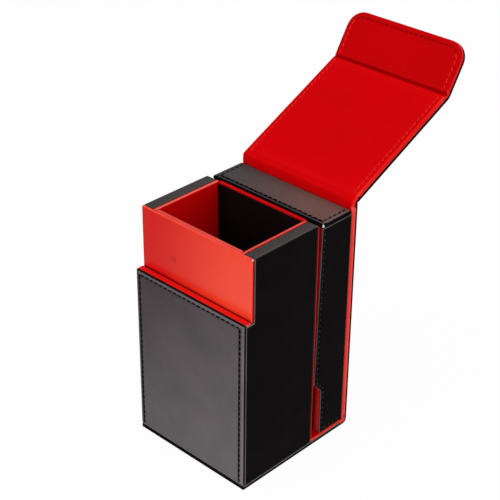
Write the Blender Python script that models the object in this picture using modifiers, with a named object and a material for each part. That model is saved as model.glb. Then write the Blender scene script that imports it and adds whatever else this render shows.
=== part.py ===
"""Folding dice tower in a wrap-round cover.

A box-shaped tower with three ramps stands on a board. The board folds up behind it as a tray,
and the tray carries a hinged lid with a tuck flap that closes over the tower's mouth.
Origin: middle of the base's underside. X to the right, Y to the back, Z up.
"""
import math

import bmesh
import bpy

MM = 0.001

# Clearances
FIT_GAP = 0.3 * MM
CUT_OVERRUN = 2.0 * MM

# Whole body
BODY_WIDTH = 100.0 * MM
BODY_DEPTH = 105.8 * MM

# Cover boards: a dark skin outside, a red lining inside, a fold between neighbours
PANEL_THICKNESS = 5.4 * MM
SKIN_THICKNESS = 1.2 * MM
BASE_SKIN_THICKNESS = 2.8 * MM
LINING_WRAP = 0.9 * MM
PANEL_EDGE_RADIUS = 0.7 * MM
SKIN_EDGE_RADIUS = 0.4 * MM
TIGHTEST_FOLD = math.radians(83.0)
FOLD_ARC_STEPS = 10

# Front panel: a skin glued over a pad on the lower part of the tower's front, with a ledge on top
FRONT_PANEL_HEIGHT = 130.8 * MM
FRONT_PANEL_THICKNESS = 6.4 * MM
LEDGE_COVER_THICKNESS = 1.3 * MM

# Tower box
TOWER_HEIGHT = 175.8 * MM
TOWER_DEPTH = 60.2 * MM
SIDE_WALL_THICKNESS = 8.5 * MM
SIDE_WALL_WRAP = 1.3 * MM
SIDE_WALL_EDGE_RADIUS = 0.9 * MM
FRONT_BOARD_THICKNESS = 1.7 * MM
FRONT_LINING_THICKNESS = 2.4 * MM
SIDE_LINING_THICKNESS = 2.7 * MM
LINING_EDGE_RADIUS = 0.5 * MM
REAR_WALL_THICKNESS = 1.8 * MM
REAR_RIM_HEIGHT = 1.2 * MM
REAR_WALL_DROP = 0.2 * MM
REAR_COVER_THICKNESS = 0.9 * MM
REAR_COVER_EDGE_RADIUS = 0.25 * MM

# Dice exit at the foot of the rear wall
EXIT_JAMB = 3.5 * MM
EXIT_HEIGHT = 42.0 * MM

# Ramps inside the tower: a glued flange on the wall and a sloping leaf
RAMP_THICKNESS = 2.4 * MM
RAMP_FLANGE = 11.0 * MM
THROAT = 29.0 * MM
UPPER_RAMP_BELOW_RIM = 23.8 * MM
UPPER_RAMP_SLOPE = math.radians(36.0)
MIDDLE_RAMP_BELOW_RIM = 63.8 * MM
MIDDLE_RAMP_SLOPE = math.radians(40.0)
EXIT_RAMP_TOP = 52.0 * MM
EXIT_RAMP_LIP = 3.2 * MM

# Closing magnets: one pair in the tower's front, one pair in the flap
MAGNET_DIAMETER = 8.0 * MM
MAGNET_THICKNESS = 1.5 * MM
MAGNET_SPACING = 44.0 * MM
MAGNET_BELOW_RIM = 27.6 * MM
MAGNET_SIDES = 32
SMOOTH_ANGLE = math.radians(40.0)

# Rolling tray: folds up against the back of the tower, open side towards it
TRAY_GAP_AT_TOP = 3.7 * MM
TRAY_GAP_AT_NOTCH = 1.0 * MM
TRAY_TOP_DROP = 1.5 * MM
TRAY_SKIN_THICKNESS = 1.3 * MM
TRAY_LINING_THICKNESS = 5.0 * MM
TRAY_END_LINING_THICKNESS = 1.4 * MM
TRAY_EDGE_RADIUS = 0.35 * MM
TRAY_END_THICKNESS = 2.6 * MM
TRAY_END_EDGE_RADIUS = 0.8 * MM
TRAY_END_GAP = 0.6 * MM
NOTCH_DEPTH = 7.4 * MM
NOTCH_HEIGHT = 36.2 * MM
NOTCH_CHAMFER = 8.4 * MM

# Lid and flap
LID_CLEARANCE = 0.6 * MM
LID_REST_ANGLE = math.radians(25.5)
FLAP_PIVOT_PROUD = 0.7 * MM
FLAP_LENGTH = 36.6 * MM
FLAP_CORNER_RADIUS = 12.5 * MM
FLAP_CORNER_STEPS = 8
FLAP_REST_BEND = math.radians(32.5)

# Colours: red, green, blue in linear light, roughness, metallic
SKIN_FINISH = ((0.040, 0.036, 0.037), 0.50, 0.0)
WALL_FINISH = ((0.010, 0.009, 0.009), 0.55, 0.0)
LINING_FINISH = ((0.620, 0.012, 0.012), 0.48, 0.0)
BOARD_FINISH = ((0.020, 0.010, 0.010), 0.70, 0.0)
CORE_FINISH = ((0.280, 0.220, 0.160), 0.85, 0.0)
MAGNET_FINISH = ((0.550, 0.540, 0.520), 0.30, 1.0)

# Places worked out from the sizes
HALF_WIDTH = BODY_WIDTH / 2
FRONT_Y = -BODY_DEPTH / 2
REAR_Y = BODY_DEPTH / 2
FOLD_RADIUS = PANEL_THICKNESS / 2
BOARD_END = FOLD_RADIUS / math.tan(TIGHTEST_FOLD / 2)
SKIN_STACK = SKIN_THICKNESS + FIT_GAP
BASE_STACK = BASE_SKIN_THICKNESS + FIT_GAP

TOWER_FRONT_Y = FRONT_Y + FRONT_PANEL_THICKNESS + FIT_GAP
TOWER_REAR_Y = TOWER_FRONT_Y + TOWER_DEPTH
SIDE_WALL_FRONT_Y = TOWER_FRONT_Y + FRONT_BOARD_THICKNESS + FIT_GAP
SHAFT_FRONT_Y = SIDE_WALL_FRONT_Y + FRONT_LINING_THICKNESS
REAR_WALL_FRONT_Y = TOWER_REAR_Y - REAR_WALL_THICKNESS
REAR_COVER_REAR_Y = TOWER_REAR_Y + FIT_GAP + REAR_COVER_THICKNESS
WALL_INNER_X = HALF_WIDTH - SIDE_WALL_THICKNESS
LINING_OUTER_X = WALL_INNER_X - FIT_GAP
SHAFT_HALF_WIDTH = LINING_OUTER_X - SIDE_LINING_THICKNESS
FLOOR_Z = PANEL_THICKNESS + FIT_GAP
REAR_WALL_TOP = TOWER_HEIGHT - REAR_WALL_DROP

BASE_PIVOT = (0, REAR_Y - FOLD_RADIUS, FOLD_RADIUS)
LID_PIVOT_HEIGHT = TOWER_HEIGHT + LID_CLEARANCE + FOLD_RADIUS
LID_SPAN = BASE_PIVOT[1] - FRONT_Y + FLAP_PIVOT_PROUD
BACK_INNER_Y = REAR_Y - PANEL_THICKNESS
TRAY_FRONT_Y = REAR_COVER_REAR_Y + TRAY_GAP_AT_TOP
TRAY_NOTCH_FRONT_Y = REAR_COVER_REAR_Y + TRAY_GAP_AT_NOTCH
TRAY_REAR_Y = BACK_INNER_Y - FIT_GAP
TRAY_TOP = TOWER_HEIGHT - TRAY_TOP_DROP
TRAY_WALL_TOP = TRAY_TOP - TRAY_END_THICKNESS - TRAY_END_GAP
TRAY_LINING_OUTER_X = HALF_WIDTH - TRAY_SKIN_THICKNESS - FIT_GAP
TRAY_LINING_INNER_X = TRAY_LINING_OUTER_X - TRAY_LINING_THICKNESS
MAGNET_HEIGHT = TOWER_HEIGHT - MAGNET_BELOW_RIM
MAGNET_POCKET_DEPTH = MAGNET_THICKNESS + FIT_GAP
MAGNET_POCKET_RADIUS = MAGNET_DIAMETER / 2 + FIT_GAP


def clear_scene():
    for old in list(bpy.data.objects):
        bpy.data.objects.remove(old, do_unlink=True)


def new_collection(name):
    collection = bpy.data.collections.new(name)
    bpy.context.scene.collection.children.link(collection)
    return collection


def make_material(name, finish):
    colour, roughness, metallic = finish
    material = bpy.data.materials.new(name)
    material.use_nodes = True
    shader = material.node_tree.nodes["Principled BSDF"]
    shader.inputs["Base Color"].default_value = (*colour, 1)
    shader.inputs["Roughness"].default_value = roughness
    shader.inputs["Metallic"].default_value = metallic
    material.diffuse_color = (*colour, 1)
    return material


def add_part(name, mesh, finish, parent=None):
    part = bpy.data.objects.new(name, mesh)
    PARTS.objects.link(part)
    part.parent = parent
    mesh.materials.append(make_material(name + "_finish", finish))
    return part


def add_pivot(name, location, angle, parent=None):
    pivot = bpy.data.objects.new(name, None)
    PARTS.objects.link(pivot)
    pivot.parent = parent
    pivot.location = location
    pivot.rotation_euler = (angle, 0, 0)
    return pivot


def round_edges(part, radius):
    bevel = part.modifiers.new("round_edges", "BEVEL")
    bevel.width = radius
    bevel.segments = 2
    bevel.limit_method = "ANGLE"


def block_mesh(name, low, high):
    mesh = bpy.data.meshes.new(name)
    block = bmesh.new()
    bmesh.ops.create_cube(block, size=1)
    size = [top - bottom for bottom, top in zip(low, high)]
    bmesh.ops.scale(block, vec=size, verts=block.verts)
    block.to_mesh(mesh)
    block.free()
    return mesh


def centre_of(low, high):
    return [(bottom + top) / 2 for bottom, top in zip(low, high)]


def make_block(name, low, high, finish, edge_radius, parent=None):
    part = add_part(name, block_mesh(name, low, high), finish, parent)
    part.location = centre_of(low, high)
    round_edges(part, edge_radius)
    return part


def outline_mesh(name, outline, thickness):
    curve = bpy.data.curves.new(name + "_outline", "CURVE")
    curve.dimensions = "2D"
    curve.fill_mode = "BOTH"
    curve.extrude = thickness / 2
    spline = curve.splines.new("POLY")
    spline.points.add(len(outline) - 1)
    for point, (along, across) in zip(spline.points, outline):
        point.co = (along, across, 0, 1)
    spline.use_cyclic_u = True
    drawn = bpy.data.objects.new(name + "_outline", curve)
    bpy.context.scene.collection.objects.link(drawn)
    graph = bpy.context.evaluated_depsgraph_get()
    mesh = bpy.data.meshes.new_from_object(drawn.evaluated_get(graph))
    bpy.data.objects.remove(drawn, do_unlink=True)
    welded = bmesh.new()
    welded.from_mesh(mesh)
    bmesh.ops.remove_doubles(welded, verts=welded.verts, dist=FIT_GAP / 100)
    bmesh.ops.dissolve_limit(welded, angle_limit=math.radians(1), verts=welded.verts, edges=welded.edges)
    bmesh.ops.recalc_face_normals(welded, faces=welded.faces)
    welded.to_mesh(mesh)
    welded.free()
    mesh.materials.clear()
    return mesh


def make_side_plate(name, outline, left, right, finish, edge_radius, parent=None):
    """Solid of an outline in Y and Z, from the X of its left face to that of its right face."""
    part = add_part(name, outline_mesh(name, outline, right - left), finish, parent)
    part.location = ((left + right) / 2, 0, 0)
    part.rotation_euler = (math.pi / 2, 0, math.pi / 2)
    if edge_radius:
        round_edges(part, edge_radius)
    return part


def make_flat_plate(name, outline, bottom, top, finish, edge_radius, parent=None):
    """Solid of an outline in X and Y, from its bottom face to its top face."""
    part = add_part(name, outline_mesh(name, outline, top - bottom), finish, parent)
    part.location = (0, 0, (bottom + top) / 2)
    round_edges(part, edge_radius)
    return part


def cut(part, cutter, solver="EXACT"):
    difference = part.modifiers.new("cut_" + cutter.name, "BOOLEAN")
    difference.operation = "DIFFERENCE"
    difference.solver = solver
    difference.object = cutter


def make_cutter(name, mesh, location, parent=None):
    cutter = bpy.data.objects.new(name, mesh)
    CUTTERS.objects.link(cutter)
    cutter.parent = parent
    cutter.location = location
    cutter.hide_render = True
    cutter.display_type = "WIRE"
    return cutter


def seat_core(name, holder, low, high, mouth_axis, mouth_way, parent=None, solver="EXACT"):
    """Fibre board that fills its holder's hollow, which is open on one side of one axis."""
    cut_low = list(low)
    cut_high = list(high)
    core_low = [place + FIT_GAP for place in low]
    core_high = [place - FIT_GAP for place in high]
    if mouth_way > 0:
        cut_high[mouth_axis] += CUT_OVERRUN
        core_high[mouth_axis] = high[mouth_axis]
    else:
        cut_low[mouth_axis] -= CUT_OVERRUN
        core_low[mouth_axis] = low[mouth_axis]
    mesh = block_mesh(name + "_hollow", cut_low, cut_high)
    cut(holder, make_cutter(name + "_hollow", mesh, centre_of(cut_low, cut_high), parent), solver)
    core = add_part(name, block_mesh(name, core_low, core_high), CORE_FINISH, parent)
    core.location = centre_of(core_low, core_high)


def disc_mesh(name, radius, thickness):
    mesh = bpy.data.meshes.new(name)
    disc = bmesh.new()
    bmesh.ops.create_cone(
        disc, cap_ends=True, segments=MAGNET_SIDES, radius1=radius, radius2=radius, depth=thickness
    )
    disc.to_mesh(mesh)
    disc.free()
    mesh.shade_smooth()
    mesh.set_sharp_from_angle(angle=SMOOTH_ANGLE)
    return mesh


def seat_magnet(name, holder, mouth, into, turn, parent=None):
    """Disc magnet in a blind pocket of its holder: mouth is the pocket's open end, into its depth's way."""
    pocket = disc_mesh(name + "_pocket", MAGNET_POCKET_RADIUS, 2 * MAGNET_POCKET_DEPTH)
    cutter = make_cutter(name + "_pocket", pocket, mouth, parent)
    cutter.rotation_euler = (turn, 0, 0)
    cut(holder, cutter)
    magnet = add_part(name, disc_mesh(name, MAGNET_DIAMETER / 2, MAGNET_THICKNESS), MAGNET_FINISH, parent)
    magnet.location = [place + way * MAGNET_THICKNESS / 2 for place, way in zip(mouth, into)]
    magnet.rotation_euler = (turn, 0, 0)


def half_disc(radius, facing, flat_offset):
    """Outline in Y and Z of a half disc on the fold line that bulges towards the facing angle."""
    spread = math.acos(flat_offset / radius)
    points = []
    for step in range(FOLD_ARC_STEPS + 1):
        angle = facing - spread + 2 * spread * step / FOLD_ARC_STEPS
        points.append((radius * math.cos(angle), radius * math.sin(angle)))
    return points


def make_fold(name, pivot, before_angle, after_angle):
    """The two leather strips of a fold, lining inside and skin outside, rolled on its axis."""
    inner_facing = (before_angle + after_angle) / 2 + math.pi / 2
    outer_facing = inner_facing + math.pi
    for kind, facing, finish in (("inner", inner_facing, LINING_FINISH), ("outer", outer_facing, SKIN_FINISH)):
        outline = half_disc(FOLD_RADIUS, facing, FIT_GAP / 2)
        strip = make_side_plate(name + "_" + kind, outline, -HALF_WIDTH, HALF_WIDTH, finish, 0, pivot)
        strip.data.shade_smooth()
        strip.data.set_sharp_from_angle(angle=SMOOTH_ANGLE)


def make_base():
    make_block(
        "base_outer",
        (-HALF_WIDTH, FRONT_Y, 0),
        (HALF_WIDTH, BASE_PIVOT[1] - BOARD_END, BASE_SKIN_THICKNESS),
        SKIN_FINISH,
        SKIN_EDGE_RADIUS,
    )
    shoulder = TOWER_REAR_Y + FIT_GAP
    rear = BASE_PIVOT[1] - BOARD_END
    outline = [
        (-LINING_OUTER_X, SIDE_WALL_FRONT_Y),
        (LINING_OUTER_X, SIDE_WALL_FRONT_Y),
        (LINING_OUTER_X, shoulder),
        (HALF_WIDTH, shoulder),
        (HALF_WIDTH, rear),
        (-HALF_WIDTH, rear),
        (-HALF_WIDTH, shoulder),
        (-LINING_OUTER_X, shoulder),
    ]
    lining = make_flat_plate(
        "base_lining", outline, BASE_STACK, PANEL_THICKNESS, LINING_FINISH, PANEL_EDGE_RADIUS
    )
    seat_core(
        "base_core",
        lining,
        (LINING_WRAP - LINING_OUTER_X, SIDE_WALL_FRONT_Y + LINING_WRAP, BASE_STACK),
        (LINING_OUTER_X - LINING_WRAP, rear - LINING_WRAP, PANEL_THICKNESS - LINING_WRAP),
        2,
        -1,
        solver="MANIFOLD",
    )


def make_front_panel():
    pad_front = FRONT_Y + SKIN_STACK
    pad_rear = FRONT_Y + FRONT_PANEL_THICKNESS
    pad_top = FRONT_PANEL_HEIGHT - LEDGE_COVER_THICKNESS - FIT_GAP
    half_pad = WALL_INNER_X - FIT_GAP
    make_block(
        "front_panel_outer",
        (-HALF_WIDTH, FRONT_Y, BASE_STACK),
        (HALF_WIDTH, FRONT_Y + SKIN_THICKNESS, FRONT_PANEL_HEIGHT),
        SKIN_FINISH,
        SKIN_EDGE_RADIUS,
    )
    make_block(
        "front_panel_pad",
        (-half_pad, pad_front, BASE_STACK),
        (half_pad, pad_rear, pad_top),
        CORE_FINISH,
        SKIN_EDGE_RADIUS,
    )
    make_block(
        "ledge_cover",
        (-HALF_WIDTH, pad_front, pad_top + FIT_GAP),
        (HALF_WIDTH, pad_rear, FRONT_PANEL_HEIGHT),
        LINING_FINISH,
        SKIN_EDGE_RADIUS,
    )


def make_side_walls():
    step_y = FRONT_Y + SKIN_STACK
    step_z = FRONT_PANEL_HEIGHT - LEDGE_COVER_THICKNESS - FIT_GAP
    outline = [
        (step_y, BASE_STACK),
        (TOWER_REAR_Y, BASE_STACK),
        (TOWER_REAR_Y, TOWER_HEIGHT),
        (SIDE_WALL_FRONT_Y, TOWER_HEIGHT),
        (SIDE_WALL_FRONT_Y, step_z),
        (step_y, step_z),
    ]
    for side, name in ((-1, "left_side"), (1, "right_side")):
        near, far = sorted((side * WALL_INNER_X, side * HALF_WIDTH))
        wall = make_side_plate(name + "_wall", outline, near, far, WALL_FINISH, SIDE_WALL_EDGE_RADIUS)
        near, far = sorted((side * WALL_INNER_X, side * (HALF_WIDTH - SIDE_WALL_WRAP)))
        low = (near, SIDE_WALL_FRONT_Y + SIDE_WALL_WRAP, BASE_STACK + SIDE_WALL_WRAP)
        high = (far, TOWER_REAR_Y - SIDE_WALL_WRAP, TOWER_HEIGHT - SIDE_WALL_WRAP)
        seat_core(name + "_core", wall, low, high, 0, -side)


def make_front_board():
    """Upper front: a red board across the whole width, and its backing between the side walls below."""
    step_below_board = FRONT_PANEL_HEIGHT - LEDGE_COVER_THICKNESS - FIT_GAP
    make_block(
        "front_board",
        (-HALF_WIDTH, TOWER_FRONT_Y, FRONT_PANEL_HEIGHT - LEDGE_COVER_THICKNESS),
        (HALF_WIDTH, TOWER_FRONT_Y + FRONT_BOARD_THICKNESS, TOWER_HEIGHT),
        LINING_FINISH,
        LINING_EDGE_RADIUS,
    )
    half_backing = WALL_INNER_X - FIT_GAP
    make_block(
        "front_backing",
        (-half_backing, TOWER_FRONT_Y, BASE_STACK),
        (half_backing, TOWER_FRONT_Y + FRONT_BOARD_THICKNESS, step_below_board),
        CORE_FINISH,
        LINING_EDGE_RADIUS,
    )


def make_shaft_linings():
    for side, name in ((-1, "left_shaft_lining"), (1, "right_shaft_lining")):
        near, far = sorted((side * SHAFT_HALF_WIDTH, side * LINING_OUTER_X))
        make_block(
            name,
            (near, SIDE_WALL_FRONT_Y, FLOOR_Z),
            (far, TOWER_REAR_Y, TOWER_HEIGHT),
            LINING_FINISH,
            LINING_EDGE_RADIUS,
        )
    half_width = SHAFT_HALF_WIDTH - FIT_GAP
    lining = make_block(
        "front_shaft_lining",
        (-half_width, SIDE_WALL_FRONT_Y, FLOOR_Z),
        (half_width, SHAFT_FRONT_Y, TOWER_HEIGHT),
        LINING_FINISH,
        LINING_EDGE_RADIUS,
    )
    for side, name in ((-1, "board_magnet_left"), (1, "board_magnet_right")):
        mouth = (side * MAGNET_SPACING / 2, SIDE_WALL_FRONT_Y, MAGNET_HEIGHT)
        seat_magnet(name, lining, mouth, (0, 1, 0), math.pi / 2)


def make_rear_wall():
    """Dark board inside, thin lining behind it, and a lining strip folded over the top of both."""
    half_width = SHAFT_HALF_WIDTH - FIT_GAP
    rim_bottom = REAR_WALL_TOP - REAR_RIM_HEIGHT
    wall = make_block(
        "rear_wall",
        (-half_width, REAR_WALL_FRONT_Y, FLOOR_Z),
        (half_width, TOWER_REAR_Y, rim_bottom - FIT_GAP),
        BOARD_FINISH,
        LINING_EDGE_RADIUS,
    )
    make_block(
        "rear_wall_rim",
        (-half_width, REAR_WALL_FRONT_Y, rim_bottom),
        (half_width, REAR_COVER_REAR_Y, REAR_WALL_TOP),
        LINING_FINISH,
        LINING_EDGE_RADIUS,
    )
    cover = make_block(
        "rear_wall_cover",
        (-HALF_WIDTH, TOWER_REAR_Y + FIT_GAP, FLOOR_Z),
        (HALF_WIDTH, REAR_COVER_REAR_Y, rim_bottom - FIT_GAP),
        LINING_FINISH,
        REAR_COVER_EDGE_RADIUS,
    )
    half_exit = SHAFT_HALF_WIDTH - EXIT_JAMB
    low = (-half_exit, REAR_WALL_FRONT_Y - CUT_OVERRUN, -CUT_OVERRUN)
    high = (half_exit, REAR_COVER_REAR_Y + CUT_OVERRUN, FLOOR_Z + EXIT_HEIGHT)
    doorway = make_cutter("dice_exit", block_mesh("dice_exit", low, high), centre_of(low, high))
    cut(wall, doorway)
    cut(cover, doorway)


def ramp_outline(wall_y, towards, top, slope, reach):
    """Flange down the wall from the top, then a leaf that slopes away from the wall."""
    drop = reach * math.tan(slope)
    leaf_height = RAMP_THICKNESS / math.cos(slope)
    shoulder = RAMP_THICKNESS * math.tan(slope)
    bend = top - RAMP_FLANGE
    return [
        (wall_y, top),
        (wall_y + towards * RAMP_THICKNESS, top),
        (wall_y + towards * RAMP_THICKNESS, bend - shoulder),
        (wall_y + towards * reach, bend - drop),
        (wall_y + towards * reach, bend - drop - leaf_height),
        (wall_y, bend - leaf_height),
    ]


def make_ramps():
    half_width = SHAFT_HALF_WIDTH - FIT_GAP
    front = SHAFT_FRONT_Y + FIT_GAP
    rear = REAR_WALL_FRONT_Y - FIT_GAP
    reach = rear - front - THROAT
    upper = ramp_outline(front, 1, TOWER_HEIGHT - UPPER_RAMP_BELOW_RIM, UPPER_RAMP_SLOPE, reach)
    middle = ramp_outline(rear, -1, TOWER_HEIGHT - MIDDLE_RAMP_BELOW_RIM, MIDDLE_RAMP_SLOPE, reach)
    make_side_plate("upper_ramp", upper, -half_width, half_width, LINING_FINISH, 0)
    make_side_plate("middle_ramp", middle, -half_width, half_width, LINING_FINISH, 0)
    exit_reach = rear - front
    lip = FLOOR_Z + EXIT_RAMP_LIP
    exit_slope = math.atan((EXIT_RAMP_TOP - RAMP_FLANGE - lip) / exit_reach)
    exit_leaf = ramp_outline(front, 1, EXIT_RAMP_TOP, exit_slope, exit_reach)
    make_side_plate("exit_ramp", exit_leaf, -half_width, half_width, LINING_FINISH, 0)


def make_back_panel(tray):
    top = LID_PIVOT_HEIGHT - BOARD_END
    bottom = BASE_PIVOT[2] + BOARD_END
    shift_y = BASE_PIVOT[1]
    shift_z = BASE_PIVOT[2]
    make_block(
        "back_outer",
        (-HALF_WIDTH, REAR_Y - SKIN_THICKNESS - shift_y, bottom - shift_z),
        (HALF_WIDTH, REAR_Y - shift_y, top - shift_z),
        SKIN_FINISH,
        SKIN_EDGE_RADIUS,
        tray,
    )
    inner_y = BACK_INNER_Y - shift_y
    outer_y = REAR_Y - SKIN_STACK - shift_y
    lining = make_block(
        "back_lining",
        (-HALF_WIDTH, inner_y, bottom - shift_z),
        (HALF_WIDTH, outer_y, top - shift_z),
        LINING_FINISH,
        PANEL_EDGE_RADIUS,
        tray,
    )
    half_core = HALF_WIDTH - LINING_WRAP
    low = (-half_core, inner_y + LINING_WRAP, bottom - shift_z + LINING_WRAP)
    high = (half_core, outer_y, top - shift_z - LINING_WRAP)
    seat_core("back_core", lining, low, high, 1, 1, tray)


def notched_outline(top):
    """Tray side in Y and Z about the base fold, deeper towards its foot, with the finger notch there."""
    front_at_top = TRAY_FRONT_Y - BASE_PIVOT[1]
    front_at_notch = TRAY_NOTCH_FRONT_Y - BASE_PIVOT[1]
    rear = TRAY_REAR_Y - BASE_PIVOT[1]
    bottom = FLOOR_Z - BASE_PIVOT[2]
    return [
        (front_at_notch + NOTCH_DEPTH, bottom),
        (rear, bottom),
        (rear, top - BASE_PIVOT[2]),
        (front_at_top, top - BASE_PIVOT[2]),
        (front_at_notch, bottom + NOTCH_HEIGHT + NOTCH_CHAMFER),
        (front_at_notch + NOTCH_DEPTH, bottom + NOTCH_HEIGHT),
    ]


def make_tray_walls(tray):
    lining_top = TRAY_TOP - TRAY_END_THICKNESS - FIT_GAP
    for side, name in ((-1, "tray_left"), (1, "tray_right")):
        skin_x = sorted((side * (HALF_WIDTH - TRAY_SKIN_THICKNESS), side * HALF_WIDTH))
        lining_x = sorted((side * TRAY_LINING_INNER_X, side * TRAY_LINING_OUTER_X))
        make_side_plate(
            name + "_skin", notched_outline(TRAY_WALL_TOP), *skin_x, WALL_FINISH, TRAY_EDGE_RADIUS, tray
        )
        make_side_plate(
            name + "_lining", notched_outline(lining_top), *lining_x, LINING_FINISH, TRAY_EDGE_RADIUS, tray
        )


def make_tray_end(tray):
    shift_y = BASE_PIVOT[1]
    shift_z = BASE_PIVOT[2]
    skin_bottom = TRAY_TOP - TRAY_END_THICKNESS
    lining_top = skin_bottom - FIT_GAP
    half_lining = TRAY_LINING_INNER_X - FIT_GAP
    make_block(
        "tray_end_skin",
        (-HALF_WIDTH, TRAY_FRONT_Y - shift_y, skin_bottom - shift_z),
        (HALF_WIDTH, TRAY_REAR_Y - shift_y, TRAY_TOP - shift_z),
        SKIN_FINISH,
        TRAY_END_EDGE_RADIUS,
        tray,
    )
    make_block(
        "tray_end_lining",
        (-half_lining, TRAY_FRONT_Y - shift_y, lining_top - TRAY_END_LINING_THICKNESS - shift_z),
        (half_lining, TRAY_REAR_Y - shift_y, lining_top - shift_z),
        LINING_FINISH,
        TRAY_EDGE_RADIUS,
        tray,
    )


def make_lid(lid):
    start = BOARD_END
    end = LID_SPAN - BOARD_END
    make_block(
        "lid_outer",
        (-HALF_WIDTH, start, -FOLD_RADIUS),
        (HALF_WIDTH, end, SKIN_THICKNESS - FOLD_RADIUS),
        SKIN_FINISH,
        SKIN_EDGE_RADIUS,
        lid,
    )
    lining = make_block(
        "lid_lining",
        (-HALF_WIDTH, start, SKIN_STACK - FOLD_RADIUS),
        (HALF_WIDTH, end, FOLD_RADIUS),
        LINING_FINISH,
        PANEL_EDGE_RADIUS,
        lid,
    )
    half_core = HALF_WIDTH - LINING_WRAP
    low = (-half_core, start + LINING_WRAP, SKIN_STACK - FOLD_RADIUS)
    high = (half_core, end - LINING_WRAP, FOLD_RADIUS - LINING_WRAP)
    seat_core("lid_core", lining, low, high, 2, -1, lid)


def flap_outline(inset):
    """Flap in X and Y from its fold, with two round corners, drawn in by the inset all round."""
    radius = FLAP_CORNER_RADIUS - inset
    half_width = HALF_WIDTH - inset
    centre_x = HALF_WIDTH - FLAP_CORNER_RADIUS
    centre_y = FLAP_LENGTH - FLAP_CORNER_RADIUS
    points = [(-half_width, BOARD_END + inset), (half_width, BOARD_END + inset)]
    for side, first in ((1, 0), (-1, math.pi / 2)):
        for step in range(FLAP_CORNER_STEPS + 1):
            angle = first + math.pi / 2 * step / FLAP_CORNER_STEPS
            x = side * centre_x + radius * math.cos(angle)
            y = centre_y + radius * math.sin(angle)
            points.append((x, y))
    return points


def make_flap(flap):
    outline = flap_outline(0)
    skin_top = SKIN_THICKNESS - FOLD_RADIUS
    lining_bottom = SKIN_STACK - FOLD_RADIUS
    core_top = FOLD_RADIUS - LINING_WRAP - FIT_GAP
    make_flat_plate("flap_outer", outline, -FOLD_RADIUS, skin_top, SKIN_FINISH, SKIN_EDGE_RADIUS, flap)
    lining = make_flat_plate(
        "flap_lining", outline, lining_bottom, FOLD_RADIUS, LINING_FINISH, PANEL_EDGE_RADIUS, flap
    )
    hollow_height = FOLD_RADIUS - LINING_WRAP - lining_bottom
    hollow = outline_mesh("flap_core_hollow", flap_outline(LINING_WRAP), 2 * hollow_height)
    cut(lining, make_cutter("flap_core_hollow", hollow, (0, 0, lining_bottom), flap))
    core_outline = flap_outline(LINING_WRAP + FIT_GAP)
    core = add_part(
        "flap_core", outline_mesh("flap_core", core_outline, core_top - lining_bottom), CORE_FINISH, flap
    )
    core.location = (0, 0, (lining_bottom + core_top) / 2)
    from_fold = LID_PIVOT_HEIGHT - MAGNET_HEIGHT
    for side, name in ((-1, "flap_magnet_left"), (1, "flap_magnet_right")):
        mouth = (side * MAGNET_SPACING / 2, from_fold, lining_bottom)
        seat_magnet(name, core, mouth, (0, 0, 1), 0, flap)


clear_scene()
PARTS = new_collection("dice_tower")
CUTTERS = new_collection("dice_tower_cutters")

tray_pivot = add_pivot("tray_pivot", BASE_PIVOT, 0)
lid_pivot = add_pivot("lid_pivot", (0, 0, LID_PIVOT_HEIGHT - BASE_PIVOT[2]), LID_REST_ANGLE, tray_pivot)
flap_pivot = add_pivot("flap_pivot", (0, LID_SPAN, 0), FLAP_REST_BEND, lid_pivot)

make_base()
make_front_panel()
make_side_walls()
make_front_board()
make_shaft_linings()
make_rear_wall()
make_ramps()
base_fold = add_pivot("base_fold", BASE_PIVOT, 0)
make_fold("base_fold", base_fold, 0, math.pi / 2)
make_back_panel(tray_pivot)
make_tray_walls(tray_pivot)
make_tray_end(tray_pivot)
lid_fold = add_pivot("lid_fold", (0, 0, LID_PIVOT_HEIGHT - BASE_PIVOT[2]), 0, tray_pivot)
make_fold("lid_fold", lid_fold, math.pi / 2, LID_REST_ANGLE)
make_lid(lid_pivot)
flap_fold = add_pivot("flap_fold", (0, LID_SPAN, 0), 0, lid_pivot)
make_fold("flap_fold", flap_fold, 0, FLAP_REST_BEND)
make_flap(flap_pivot)
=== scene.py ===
import math
import random

import bmesh
import bpy
from mathutils import Matrix, Vector


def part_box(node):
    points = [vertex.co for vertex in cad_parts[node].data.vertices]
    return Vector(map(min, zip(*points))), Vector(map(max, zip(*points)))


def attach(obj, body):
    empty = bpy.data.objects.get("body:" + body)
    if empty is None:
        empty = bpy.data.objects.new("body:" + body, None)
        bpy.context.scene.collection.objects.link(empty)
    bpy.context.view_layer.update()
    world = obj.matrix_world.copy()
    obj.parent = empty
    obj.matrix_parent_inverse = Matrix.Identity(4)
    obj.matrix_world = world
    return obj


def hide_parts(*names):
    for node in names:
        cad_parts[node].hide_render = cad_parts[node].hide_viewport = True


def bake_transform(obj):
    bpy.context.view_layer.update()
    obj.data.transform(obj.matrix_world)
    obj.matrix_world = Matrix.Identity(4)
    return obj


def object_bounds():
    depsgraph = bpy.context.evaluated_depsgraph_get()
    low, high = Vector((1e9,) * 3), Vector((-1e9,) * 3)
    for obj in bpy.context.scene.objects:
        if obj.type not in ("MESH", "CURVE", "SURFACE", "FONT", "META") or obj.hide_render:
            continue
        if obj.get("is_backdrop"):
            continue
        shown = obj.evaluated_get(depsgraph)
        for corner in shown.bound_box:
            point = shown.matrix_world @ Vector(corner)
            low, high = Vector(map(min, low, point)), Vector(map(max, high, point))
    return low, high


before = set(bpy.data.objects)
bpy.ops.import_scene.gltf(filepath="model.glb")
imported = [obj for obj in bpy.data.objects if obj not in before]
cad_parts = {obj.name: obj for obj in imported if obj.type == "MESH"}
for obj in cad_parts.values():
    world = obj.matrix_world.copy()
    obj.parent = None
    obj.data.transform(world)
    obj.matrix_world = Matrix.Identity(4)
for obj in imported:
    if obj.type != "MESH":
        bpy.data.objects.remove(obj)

CAD_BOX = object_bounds()
MM = 0.001
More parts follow.
